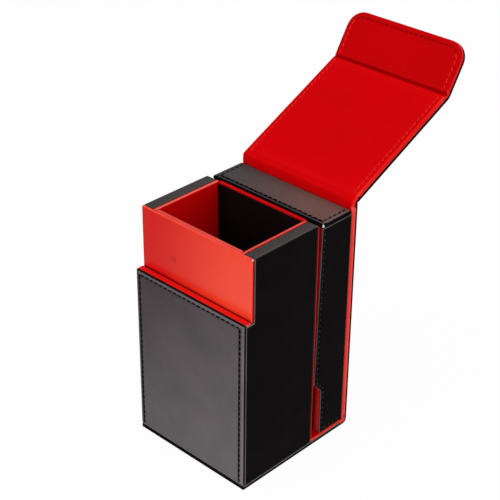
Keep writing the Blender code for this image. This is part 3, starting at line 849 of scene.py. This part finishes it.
SKIN_PROFILE = board_profile(
    FOLD_RADIUS - SKIN_STACK, FOLD_RADIUS, 0.15 * MM, 0.6 * MM, SEAM_INSET, 0.12 * MM
)
LINING_PROFILE = board_profile(
    SKIN_STACK - FOLD_RADIUS, FOLD_RADIUS, 0.8 * MM, 1.7 * MM, LINING_SEAM_INSET, 0.15 * MM,
    split=SIDE_WRAP,
)
EDGES = sideways(0.45)

FOLDS = {
    "base_fold": Fold(BASE_PIVOT, 0, math.pi / 2, ("tower", "tray"), 0.5 * MM),
    "lid_fold": Fold(LID_PIVOT, math.pi / 2, LID_ANGLE, ("tray", "lid"), 0.35 * MM),
    "flap_fold": Fold(FLAP_PIVOT, LID_ANGLE, FLAP_ANGLE, ("lid", "flap"), 1.5 * MM),
}
for name, fold in FOLDS.items():
    lining = fold_piece(
        name + "_lining", fold, LINING_PROFILE, 1, fold.groove, RED_LEATHER, "red_lining",
        name + "_inner",
    )
    if name == "flap_fold":
        # The flap's half of the fold takes the flap's painted shade
        repaint(lining, FLAP_RED_SHADE, within=lambda place: fold.past_middle(place) > 0)
        # Painted shade along the crease
        repaint(
            lining, CREASE_SHADE,
            within=lambda place: CREASE_SHADE_START < fold.past_middle(place) < CREASE_SHADE_END,
        )
    if name == "base_fold":
        # The base fold's edges take the painted highlight
        repaint(lining, RED_EDGE_HIGHLIGHT, EDGES)
    else:
        # The fold's edges take the painted highlight
        repaint(lining, LID_EDGE_HIGHLIGHT, EDGES)
        repaint(lining, BLACK_LEATHER_AND_SHADE, EDGES, lambda place: fold.height_of(place) < SIDE_WRAP)
    skin = fold_piece(
        name + "_skin", fold, SKIN_PROFILE, -1, SKIN_GROOVE, COVER_LEATHER, "cover_skin",
        name + "_outer",
    )
    # The skin's edges take the black: its own colour, with painted shade of the gap beside them
    repaint(skin, BLACK_LEATHER_AND_SHADE, EDGES)

BOARDS = {
    "back": (BASE_PIVOT, math.pi / 2, LID_PIVOT[1] - BASE_PIVOT[1] - BOARD_END, "tray", RED_EDGE_HIGHLIGHT),
    "lid": (LID_PIVOT, LID_ANGLE, LID_SPAN - BOARD_END, "lid", LID_EDGE_HIGHLIGHT),
}
for board, (pivot, angle, end, body, edge) in BOARDS.items():
    lined = board_plane(pivot, angle)
    skinned = board_plane(pivot, angle, -1)
    name = board + "_board_lining"
    mesh = lofted_board(name, LINING_PROFILE, lined, BOARD_END, end)
    lining = add_piece(name, mesh, RED_LEATHER, body, "red_lining", (board + "_lining",))
    # The lining's rounded edges take a painted highlight
    repaint(lining, edge, EDGES)
    if board == "lid":
        repaint(lining, BLACK_LEATHER_AND_SHADE, EDGES, below(lined, SIDE_WRAP))
    name = board + "_board_skin"
    mesh = lofted_board(
        name, SKIN_PROFILE, skinned, BOARD_END + SKIN_END_ROOM, end - SKIN_END_ROOM
    )
    skin = add_piece(name, mesh, COVER_LEATHER, body, "cover_skin", (board + "_outer",))
    # The skin's edges take the black: its own colour, with painted shade of the gap beside them
    repaint(skin, BLACK_LEATHER_AND_SHADE, EDGES)
    # The lid's lining stitches take the painted highlight
    lining_thread = LIT_RED_THREAD if board == "lid" else RED_THREAD
    for side, side_name in SIDES:
        for plane, kind, inset, yarn, slot in (
            (lined, "lining", LINING_SEAM_INSET, lining_thread, "red_lining"),
            (skinned, "skin", SEAM_INSET, DARK_THREAD, "cover_skin"),
        ):
            x = side * (HALF_WIDTH - inset)
            stitch_line(
                f"{board}_{kind}_stitches_{side_name}", [Vector((x, BOARD_END)), Vector((x, end))],
                in_seam(FOLD_RADIUS), plane, body, yarn, slot,
            )

FLAP_CORNERS = [
    (-HALF_WIDTH, BOARD_END, 0.3 * MM),
    (HALF_WIDTH, BOARD_END, 0.3 * MM),
    (HALF_WIDTH, FLAP_LENGTH, FLAP_CORNER_RADIUS),
    (-HALF_WIDTH, FLAP_LENGTH, FLAP_CORNER_RADIUS),
]


def off_fold(point):
    """The flap's seam fades out next to its fold."""
    return min(max((point.y - BOARD_END - SEAM_FADE_START) / SEAM_FADE_LENGTH, 0), 1)


def flap_seam(inset):
    """Path of the flap's seam, up one side, round the tip and down the other."""
    ring = drawn_in(FLAP_CORNERS, inset, spacing=1.2 * MM)
    ring = [point for point in ring if point.y > BOARD_END + inset * 1.05]
    right_x = HALF_WIDTH - inset - 0.01 * MM
    start = max(range(len(ring)), key=lambda k: (ring[k].x > right_x, -ring[k].y))
    path = ring[start:] + ring[:start]
    return [Vector((path[0].x, BOARD_END)), *path, Vector((path[-1].x, BOARD_END))]


for kind, profile, proud, material, node, slot, seam, yarn, edge in (
    ("lining", LINING_PROFILE, 1, FLAP_RED_SHADE, "flap_lining", "red_lining",
     LINING_SEAM_INSET, RED_THREAD, LID_EDGE_HIGHLIGHT),
    ("skin", SKIN_PROFILE, -1, COVER_LEATHER, "flap_outer", "cover_skin",
     SEAM_INSET, DARK_THREAD, BLACK_LEATHER_AND_SHADE),
):
    plane = board_plane(FLAP_PIVOT, FLAP_ANGLE, proud)
    wrapped = turned_from(plane.axes[2], 0.6)
    name = "flap_board_" + kind
    board = board_piece(
        name, FLAP_CORNERS, profile, plane, material, "flap", slot, node, off_fold
    )
    # Wrapped edges: the lining's take a painted highlight, the skin's the black with painted shade
    repaint(board, edge, wrapped)
    stitches = stitch_line(
        "flap_" + kind + "_stitches", flap_seam(seam), in_seam(FOLD_RADIUS), plane, "flap", yarn,
        slot,
    )
    if kind == "lining":
        repaint(board, BLACK_LEATHER_AND_SHADE, wrapped, below(plane, SIDE_WRAP))
        # Stitches near the flap's sides take the painted highlight
        repaint(stitches, LIT_RED_THREAD, within=lambda place: abs(place.x) > LIT_THREAD_X)


# Base board

BASE_SHOULDER = TOWER_REAR_Y + FIT_GAP
BASE_CORNERS = [
    (-LINING_OUTER_X, SIDE_WALL_FRONT_Y, 0.5 * MM),
    (LINING_OUTER_X, SIDE_WALL_FRONT_Y, 0.5 * MM),
    (LINING_OUTER_X, BASE_SHOULDER, 0.5 * MM),
    (HALF_WIDTH, BASE_SHOULDER, 0.8 * MM),
    (HALF_WIDTH, BASE_END, 0.3 * MM),
    (-HALF_WIDTH, BASE_END, 0.3 * MM),
    (-HALF_WIDTH, BASE_SHOULDER, 0.8 * MM),
    (-LINING_OUTER_X, BASE_SHOULDER, 0.5 * MM),
]
base_lining = board_piece(
    "base_board_lining", BASE_CORNERS,
    board_profile(BASE_STACK, PANEL_THICKNESS, 0.5 * MM, 1.0 * MM), LEVEL,
    RED_LEATHER, "tower", "red_lining", "base_lining",
)
# The base lining's edges take the painted highlight
repaint(base_lining, BASE_RIM_HIGHLIGHT, turned_from(Z_AXIS, 0.7))


def side_runs(point):
    """Seams of the underside run along its two sides only."""
    return 1.0 if abs(point.x) > HALF_WIDTH - 0.1 * MM else 0.0


base_skin = board_piece(
    "base_board_skin", rectangle((-HALF_WIDTH, FRONT_Y), (HALF_WIDTH, BASE_END), 0.9 * MM),
    board_profile(0, BASE_SKIN_THICKNESS, 0.5 * MM, 0.7 * MM, SEAM_INSET), UNDERSIDE,
    COVER_LEATHER, "tower", "cover_skin", "base_outer", side_runs,
)
repaint(base_skin, BLACK_LEATHER_AND_SHADE, turned_from(Z_AXIS, 0.985))
repaint(
    base_skin, LIT_EDGE_LEATHER, turned_to(Z_AXIS, 0.35), lambda place: place.y > FRONT_Y + 2 * MM
)
for side, side_name in SIDES:
    x = side * (HALF_WIDTH - SEAM_INSET)
    stitch_line(
        "base_skin_stitches_" + side_name,
        [Vector((x, FRONT_Y + 3 * MM)), Vector((x, BASE_END - 3 * MM))],
        in_seam(BASE_SKIN_THICKNESS), UNDERSIDE, "tower", DARK_THREAD, "cover_skin",
    )


# Front panel and the tower's front

def off_foot(point):
    """The front panel's seam runs down its sides and along its top, not along its foot."""
    at_foot = point.y < BASE_STACK + 0.05 * MM and abs(point.x) < HALF_WIDTH - 4.5 * MM
    return 0.0 if at_foot else 1.0


front_skin = board_piece(
    "front_panel_skin",
    rectangle((-HALF_WIDTH, BASE_STACK), (HALF_WIDTH, FRONT_PANEL_HEIGHT), 0.9 * MM),
    board_profile(0, SKIN_THICKNESS, 0.15 * MM, 1.0 * MM, SEAM_INSET, 0.18 * MM), FRONT_SKIN,
    FRONT_LEATHER, "tower", "cover_skin", "front_panel_outer", off_foot,
)
# Painted shade: the front leather's edges, turned away from the front, take the black
repaint(front_skin, BLACK_LEATHER_AND_SHADE, turned_from(Y_AXIS, 0.9))
repaint(front_skin, LIT_EDGE_LEATHER, turned_to(TO_FLOOR, 0.3))
# Painted highlight on the right and top margins, not on the left one
repaint(
    front_skin, ROLLED_MARGIN_HIGHLIGHT, turned_to(TO_FRONT, 0.9),
    lambda place: place.x > HALF_WIDTH - ROLL_HIGHLIGHT_REACH or place.z > FRONT_PANEL_HEIGHT - ROLL_HIGHLIGHT_REACH,
)
seam_x = HALF_WIDTH - SEAM_INSET
seam_foot = BASE_STACK + 0.8 * MM
seam_top = FRONT_PANEL_HEIGHT - SEAM_INSET
stitch_runs(
    ("front_stitches_right", "front_stitches_top", "front_stitches_left"),
    ((seam_x, seam_foot), (seam_x, seam_top), (-seam_x, seam_top), (-seam_x, seam_foot)),
    in_seam(SKIN_THICKNESS), FRONT_SKIN, "tower", FRONT_STITCH_RADIUS,
)

# The ledge takes the red edges' painted highlight
ledge = box_piece(
    "ledge", "ledge_cover", 0.6 * MM, LID_EDGE_HIGHLIGHT, "red_lining", plane=FACING_FRONT, foot=1.1 * MM
)
# The ledge's ends take the painted top light
repaint(ledge, RED_RIM_TOP_LIGHT, sideways(0.3))
# The ledge's rear, where it meets the board, takes painted shade
repaint(ledge, RED_COVER_SHADE, turned_to(Y_AXIS, 0.25))
# The board's face takes the red front's painted light
front_red = box_piece(
    "front_red_board", "front_board", 1.0 * MM, RED_FRONT_LIGHT, "red_lining", plane=FACING_FRONT,
    foot=0.5 * MM, crown=0.1 * MM,
)
# Painted highlight on the red board's edges
repaint(front_red, RED_EDGE_HIGHLIGHT, turned_from(Y_AXIS, 0.96))
# The red board's side ends take painted shade
repaint(front_red, RED_GAP_SHADE, sideways(0.85))
# The board's top faces take the painted top light
repaint(front_red, RED_RIM_TOP_LIGHT, turned_to(Z_AXIS, 0.6))
# Pale corner spots: rubbed fibre with a painted highlight
rub_and_glint(front_red, (HALF_WIDTH, TOWER_FRONT_Y, TOWER_TOP), 1.2 * MM)
rub_and_glint(front_skin, (HALF_WIDTH, FRONT_Y, BASE_STACK), 0.9 * MM)


# The well's rims and the tower's side walls

front_rim = box_piece(
    "front_shaft_rim", "front_shaft_lining", 0.8 * MM, WELL_LEATHER, "red_lining",
    plane=FACING_REAR, foot=1.3 * MM,
)
# The rim's top takes the painted top light
repaint(front_rim, RED_RIM_TOP_LIGHT, turned_to(Z_AXIS, 0.5))
for (side, side_name), plane in zip(SIDES, (FACING_RIGHT, FACING_LEFT)):
    rim = box_piece(
        side_name + "_shaft_rim", side_name + "_shaft_lining", 0.9 * MM, WELL_LEATHER,
        "red_lining", plane=plane,
    )
    # The rim's top takes the painted top light
    repaint(rim, RED_RIM_TOP_LIGHT, turned_to(Z_AXIS, 0.5))
    # The rim's outer side, in the gap by the wall, takes painted shade
    repaint(rim, RED_COVER_SHADE, turned_to((side, 0, 0), 0.35))
rear_rim = box_piece("rear_rim_strip", "rear_wall_rim", 0.5 * MM, RED_LEATHER, "red_lining")
# The rear rim's face towards the well takes painted shade
repaint(rear_rim, RED_COVER_SHADE, turned_to(TO_FRONT, 0.35))

WALL_LOW_Y = FRONT_Y + SKIN_STACK
WALL_STEP_Z = LEDGE_BOTTOM - FIT_GAP
WALL_CORNERS = [
    (WALL_LOW_Y, BASE_STACK, 1.0 * MM),
    (TOWER_REAR_Y, BASE_STACK, 1.0 * MM),
    (TOWER_REAR_Y, TOWER_TOP, 1.0 * MM),
    (SIDE_WALL_FRONT_Y, TOWER_TOP, 1.0 * MM),
    (SIDE_WALL_FRONT_Y, WALL_STEP_Z, 0.3 * MM),
    (WALL_LOW_Y, WALL_STEP_Z, 1.0 * MM),
]
WALL_PROFILE = board_profile(WALL_INNER_X, HALF_WIDTH, 0.6 * MM, 1.0 * MM)
for (_, side_name), plane in zip(SIDES, (FACING_LEFT, FACING_RIGHT)):
    wall = board_piece(
        side_name + "_wall_leather", WALL_CORNERS, WALL_PROFILE, plane, BLACK_LEATHER_AND_SHADE, "tower",
        "wall_skin", side_name + "_side_wall",
    )
    # The wall's top takes the painted top light
    repaint(wall, WALL_TOP_LIGHT, turned_to(Z_AXIS, 0.75))
    repaint(wall, LIT_EDGE_LEATHER, lambda normal: abs(normal.x) > 0.6 and normal.y < -0.35)
    repaint(
        wall, LIT_EDGE_LEATHER, lambda normal: abs(normal.x) > 0.35 and normal.z > 0.35,
        lambda place: place.z < FRONT_PANEL_HEIGHT,
    )
    if side_name == "right":
        # Pale corner spot: rubbed fibre with a painted highlight
        rub_and_glint(wall, (HALF_WIDTH, TOWER_REAR_Y, TOWER_TOP), 0.9 * MM)


# Tray

def tray_side_corners(top):
    return [
        (TRAY_FRONT_NOTCH + NOTCH_DEPTH, TRAY_FLOOR_Z, 1.0 * MM),
        (TRAY_REAR_Y, TRAY_FLOOR_Z, 1.0 * MM),
        (TRAY_REAR_Y, top, 1.0 * MM),
        (TRAY_FRONT_TOP, top, 1.0 * MM),
        (TRAY_FRONT_NOTCH, TRAY_FLOOR_Z + NOTCH_HEIGHT + NOTCH_CHAMFER, 2.0 * MM),
        (TRAY_FRONT_NOTCH + NOTCH_DEPTH, TRAY_FLOOR_Z + NOTCH_HEIGHT, 2.0 * MM),
    ]


def tray_seam(point):
    """The tray's side seam runs along its foot, its notch and its front edge."""
    at_rear = point.y > 8 * MM and point.x > TRAY_REAR_Y - 0.2 * MM
    at_top = point.y > TRAY_SKIN_TOP - 0.6 * MM
    return 0.0 if at_rear or at_top else 1.0


def nearest(points, y, z):
    return min(range(len(points)), key=lambda k: (points[k] - Vector((y, z))).length)


def tray_side_path():
    """Path of the tray's side stitches, from the top of its front edge down and along its foot."""
    ring = drawn_in(tray_side_corners(TRAY_SKIN_TOP), TRAY_SEAM_INSET, spacing=1.5 * MM)
    first = nearest(ring, TRAY_FRONT_TOP + TRAY_SEAM_INSET, TRAY_SKIN_TOP - TRAY_SEAM_INSET)
    path = ring[first:] + ring[:first]
    last = nearest(path, TRAY_REAR_Y - TRAY_SEAM_INSET, TRAY_FLOOR_Z + TRAY_SEAM_INSET)
    return path[:last + 1]


def front_edges(normal):
    """Test for the edges of the tray's sides that face up or to the front."""
    return abs(normal.x) < 0.85 and (normal.z > 0.3 or normal.y < -0.3)


TRAY_SKIN_PROFILE = board_profile(
    TRAY_SKIN_INNER_X, HALF_WIDTH, 0.3 * MM, 0.6 * MM, TRAY_SEAM_INSET
)
TRAY_LINING_PROFILE = board_profile(
    TRAY_LINING_INNER_X, TRAY_LINING_OUTER_X, 1.4 * MM, 0.8 * MM
)
for (_, side_name), plane in zip(SIDES, (FACING_LEFT, FACING_RIGHT)):
    tray_side = "tray_" + side_name
    skin = board_piece(
        tray_side + "_leather", tray_side_corners(TRAY_SKIN_TOP), TRAY_SKIN_PROFILE, plane,
        BLACK_LEATHER_AND_SHADE, "tray", "wall_skin", tray_side + "_skin", tray_seam, TRAY_SEAM_DEPTH,
    )
    repaint(skin, LIT_EDGE_LEATHER, front_edges)
    # The tray side's stitches are drawn pale as painted glints
    stitch_line(
        tray_side + "_stitches", tray_side_path(), in_seam(HALF_WIDTH, TRAY_SEAM_DEPTH), plane,
        "tray", THREAD_GLINT, "wall_skin", TRAY_STITCH_LENGTH, TRAY_STITCH_RADIUS,
    )
    lining = board_piece(
        tray_side + "_red", tray_side_corners(TRAY_LINING_TOP), TRAY_LINING_PROFILE, plane,
        RED_LEATHER, "tray", "red_lining", tray_side + "_lining",
    )
    wrapped = turned_from(X_AXIS, 0.6)
    # The lining's wrapped edges take painted shade
    repaint(lining, RED_GAP_SHADE, wrapped)
    # Painted highlight on the lining's edges by the notch
    repaint(
        lining, RED_EDGE_HIGHLIGHT, wrapped, lambda place: place.z < TRAY_FLOOR_Z + NOTCH_HEIGHT + 2 * MM
    )

END_LOW, END_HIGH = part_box("tray_end_skin")


def end_seam(point):
    """The end's seam runs along its sides and its front edge, not along its rear."""
    at_rear = point.y > END_HIGH[1] - 0.2 * MM and abs(point.x) < HALF_WIDTH - 0.2 * MM
    return 0.0 if at_rear else 1.0


def end_band(low, high, sides=True):
    """Test for a band along the end's front edge, and along its side edges if asked."""
    def inside(place):
        inset = place.y - END_LOW[1]
        if sides:
            inset = min(inset, HALF_WIDTH - abs(place.x))
        return low < inset < high
    return inside


# The end's top takes the painted top light
tray_end = board_piece(
    "tray_end_leather", rectangle((END_LOW[0], END_LOW[1]), (END_HIGH[0], END_HIGH[1]), 1.2 * MM),
    board_profile(
        END_LOW[2], END_HIGH[2], 0.35 * MM, 1.8 * MM, END_SEAM_INSET, 0.1 * MM, END_CROWN_REACH
    ),
    LEVEL, END_TOP_LIGHT, "tray", "cover_skin", "tray_end_skin", end_seam,
)
# Painted shade: a black band along the end's front edge and its tilted faces, with a painted
# highlight line along the roll
repaint(tray_end, BLACK_LEATHER_AND_SHADE, within=end_band(-HALF_WIDTH, END_SHADE_BAND, sides=False))
repaint(tray_end, LIT_EDGE_LEATHER, turned_to(Z_AXIS, 0.2), end_band(*END_LIT_BAND))
repaint(tray_end, BLACK_LEATHER_AND_SHADE, lambda normal: normal.z < 0.84)
# Pale corner spot: rubbed fibre with a painted highlight
rub_and_glint(tray_end, (END_HIGH[0], END_LOW[1], END_HIGH[2] - 1 * MM), 1.4 * MM)
seam_x = HALF_WIDTH - END_SEAM_INSET
seam_front = END_LOW[1] + END_SEAM_INSET
seam_rear = END_HIGH[1] - 1.5 * MM
stitch_runs(
    ("tray_end_stitches_left", "tray_end_stitches_front", "tray_end_stitches_right"),
    ((-seam_x, seam_rear), (-seam_x, seam_front), (seam_x, seam_front), (seam_x, seam_rear)),
    in_seam(END_HIGH[2]), LEVEL, "tray", END_STITCH_RADIUS,
)
end_red = box_piece(
    "tray_end_red", "tray_end_lining", 0.4 * MM, RED_LEATHER, "red_lining", "tray"
)
# Painted shade: the end lining's front faces, in the gap under the end, take the black
repaint(end_red, BLACK_LEATHER_AND_SHADE, turned_to(TO_FRONT, 0.5))


# CAD nodes that keep their shape

KEPT = (
    (DARK_BOARD, ("rear_wall",)),
    # Painted shade: the rear cover sits in the gap behind the tower
    (RED_COVER_SHADE, ("rear_wall_cover",)),
    (WELL_LEATHER, ("upper_ramp", "middle_ramp", "exit_ramp")),
    (CORE_BOARD, (
        "front_panel_pad", "front_backing", "base_core", "left_side_core", "right_side_core",
        "back_core", "lid_core", "flap_core",
    )),
    (NICKEL, (
        "board_magnet_left", "board_magnet_right", "flap_magnet_left", "flap_magnet_right",
    )),
)
for material, nodes in KEPT:
    for node in nodes:
        for slot_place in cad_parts[node].material_slots:
            slot_place.material = material


# Floor, world, lights and camera

FLOOR_HALF_SIZE = 6.0
FLOOR_Z = -0.2 * MM
FLOOR_COLOUR = (0.80, 0.80, 0.80, 1)
FLOOR_GLOW = 0.97
# X between which the glow seen by glossy rays rises, and its strengths there
GLOW_FALL = (-0.28, 0.06, 0.05, 1.0)
WORLD_LEVEL = 0.30
AIM = (0, 0, 0.11)
# Place, aim, size and power
LIGHTS = {
    "key_front": ((-0.25, -1.25, 0.75), AIM, (1.1, 0.9), 8.0),
    "low_front": ((0.16, -0.55, 0.04), (0.05, -0.05, 0.06), (0.30, 0.10), 0.55),
    "top_soft": ((-0.1, -0.25, 1.5), AIM, (1.4, 1.4), 8.0),
    "right_fill": ((1.3, -0.1, 0.55), AIM, (0.9, 0.9), 6.0),
    "rear_fill": ((-0.3, 1.3, 0.8), AIM, (1.0, 1.0), 5.0),
}

# The camera, fitted to the photo, with the focal length in the photo's pixels
CAMERA_AZIMUTH = math.radians(43.4755)
CAMERA_ELEVATION = math.radians(30.2523)
CAMERA_ROLL = math.radians(0.5996)
CAMERA_DISTANCE = 943.94 * MM
CAMERA_TARGET = (0, 7.1 * MM, 80 * MM)
CAMERA_SLIDE = (-1.655 * MM, 52.217 * MM)
SENSOR_WIDTH = 36.0
FOCAL_LENGTH = 1375.12
PHOTO_WIDTH = 500


def floor_finish():
    """Matt floor that is white where it is seen, and takes light and shadow as a pale floor does.

    What glossy faces see of it falls off to the left.
    """
    m = Nodes("floor_finish")
    m.shade({"Base Color": FLOOR_COLOUR, "Roughness": 0.9, "Specular IOR Level": 0.1})
    path = m.add("ShaderNodeLightPath")
    levels = {0: path.outputs["Is Glossy Ray"], 2: 1.0, 3: m.spread(m.x_place(), *GLOW_FALL)}
    level = m.add("ShaderNodeMix", levels, data_type="FLOAT").outputs[0]
    glow = m.add("ShaderNodeEmission", {"Strength": level}).outputs[0]
    seen = path.outputs["Is Camera Ray"]
    for other in ("Is Glossy Ray", "Is Transmission Ray"):
        seen = m.compute("MAXIMUM", seen, path.outputs[other])
    share = m.compute("MULTIPLY", seen, FLOOR_GLOW)
    mix = m.add("ShaderNodeMixShader", {0: share, 1: m.shader.outputs[0], 2: glow})
    fill(m.tree, m.tree.nodes["Material Output"], {"Surface": mix.outputs[0]})
    return m.material


def make_floor():
    shape = bmesh.new()
    bmesh.ops.create_grid(shape, x_segments=2, y_segments=2, size=FLOOR_HALF_SIZE)
    mesh = bpy.data.meshes.new("floor")
    shape.to_mesh(mesh)
    shape.free()
    floor = bpy.data.objects.new("floor", mesh)
    bpy.context.scene.collection.objects.link(floor)
    floor.location = (0, 0, FLOOR_Z)
    mesh.materials.append(floor_finish())
    floor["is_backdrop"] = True


def make_world():
    """Soft light from all round, with plain white behind the object."""
    world = bpy.data.worlds.new("studio")
    bpy.context.scene.world = world
    world.use_nodes = True
    tree = world.node_tree
    light = tree.nodes["Background"]
    seen = tree.nodes.new("ShaderNodeBackground")
    fill(tree, light, {"Color": (1, 1, 1, 1), "Strength": WORLD_LEVEL})
    fill(tree, seen, {"Color": (1, 1, 1, 1), "Strength": 1.0})
    path = tree.nodes.new("ShaderNodeLightPath")
    mix = tree.nodes.new("ShaderNodeMixShader")
    fill(tree, mix, {
        0: path.outputs["Is Camera Ray"], 1: light.outputs[0], 2: seen.outputs[0],
    })
    fill(tree, tree.nodes["World Output"], {"Surface": mix.outputs[0]})


def add_light(name, place, aim, size, power):
    data = bpy.data.lights.new(name, "AREA")
    data.shape = "RECTANGLE"
    data.size, data.size_y = size
    data.energy = power
    lamp = bpy.data.objects.new(name, data)
    bpy.context.scene.collection.objects.link(lamp)
    lamp.location = place
    lamp.rotation_euler = (Vector(aim) - Vector(place)).to_track_quat("-Z", "Y").to_euler()
    lamp.visible_camera = False


def make_camera():
    back = Vector((
        math.sin(CAMERA_AZIMUTH) * math.cos(CAMERA_ELEVATION),
        -math.cos(CAMERA_AZIMUTH) * math.cos(CAMERA_ELEVATION),
        math.sin(CAMERA_ELEVATION),
    ))
    level_right = Vector((math.cos(CAMERA_AZIMUTH), math.sin(CAMERA_AZIMUTH), 0))
    level_up = back.cross(level_right)
    right = level_right * math.cos(CAMERA_ROLL) + level_up * math.sin(CAMERA_ROLL)
    up = level_up * math.cos(CAMERA_ROLL) - level_right * math.sin(CAMERA_ROLL)
    target = Vector(CAMERA_TARGET) + right * CAMERA_SLIDE[0] + up * CAMERA_SLIDE[1]
    data = bpy.data.cameras.new("camera")
    data.sensor_width = SENSOR_WIDTH
    data.lens = FOCAL_LENGTH / PHOTO_WIDTH * SENSOR_WIDTH
    data.clip_start = 0.01
    camera = bpy.data.objects.new("camera", data)
    bpy.context.scene.collection.objects.link(camera)
    turn = Matrix((right, up, back)).transposed()
    place = Matrix.Translation(target + back * CAMERA_DISTANCE)
    camera.matrix_world = place @ turn.to_4x4()
    bpy.context.scene.camera = camera


for name, settings in LIGHTS.items():
    add_light(name, *settings)
make_floor()
make_world()
make_camera()
bpy.context.scene.view_settings.view_transform = "Standard"

boxes = {"cad": CAD_BOX, "visual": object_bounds()}
{key: [[float(v) for v in corner] for corner in box] for key, box in boxes.items()}
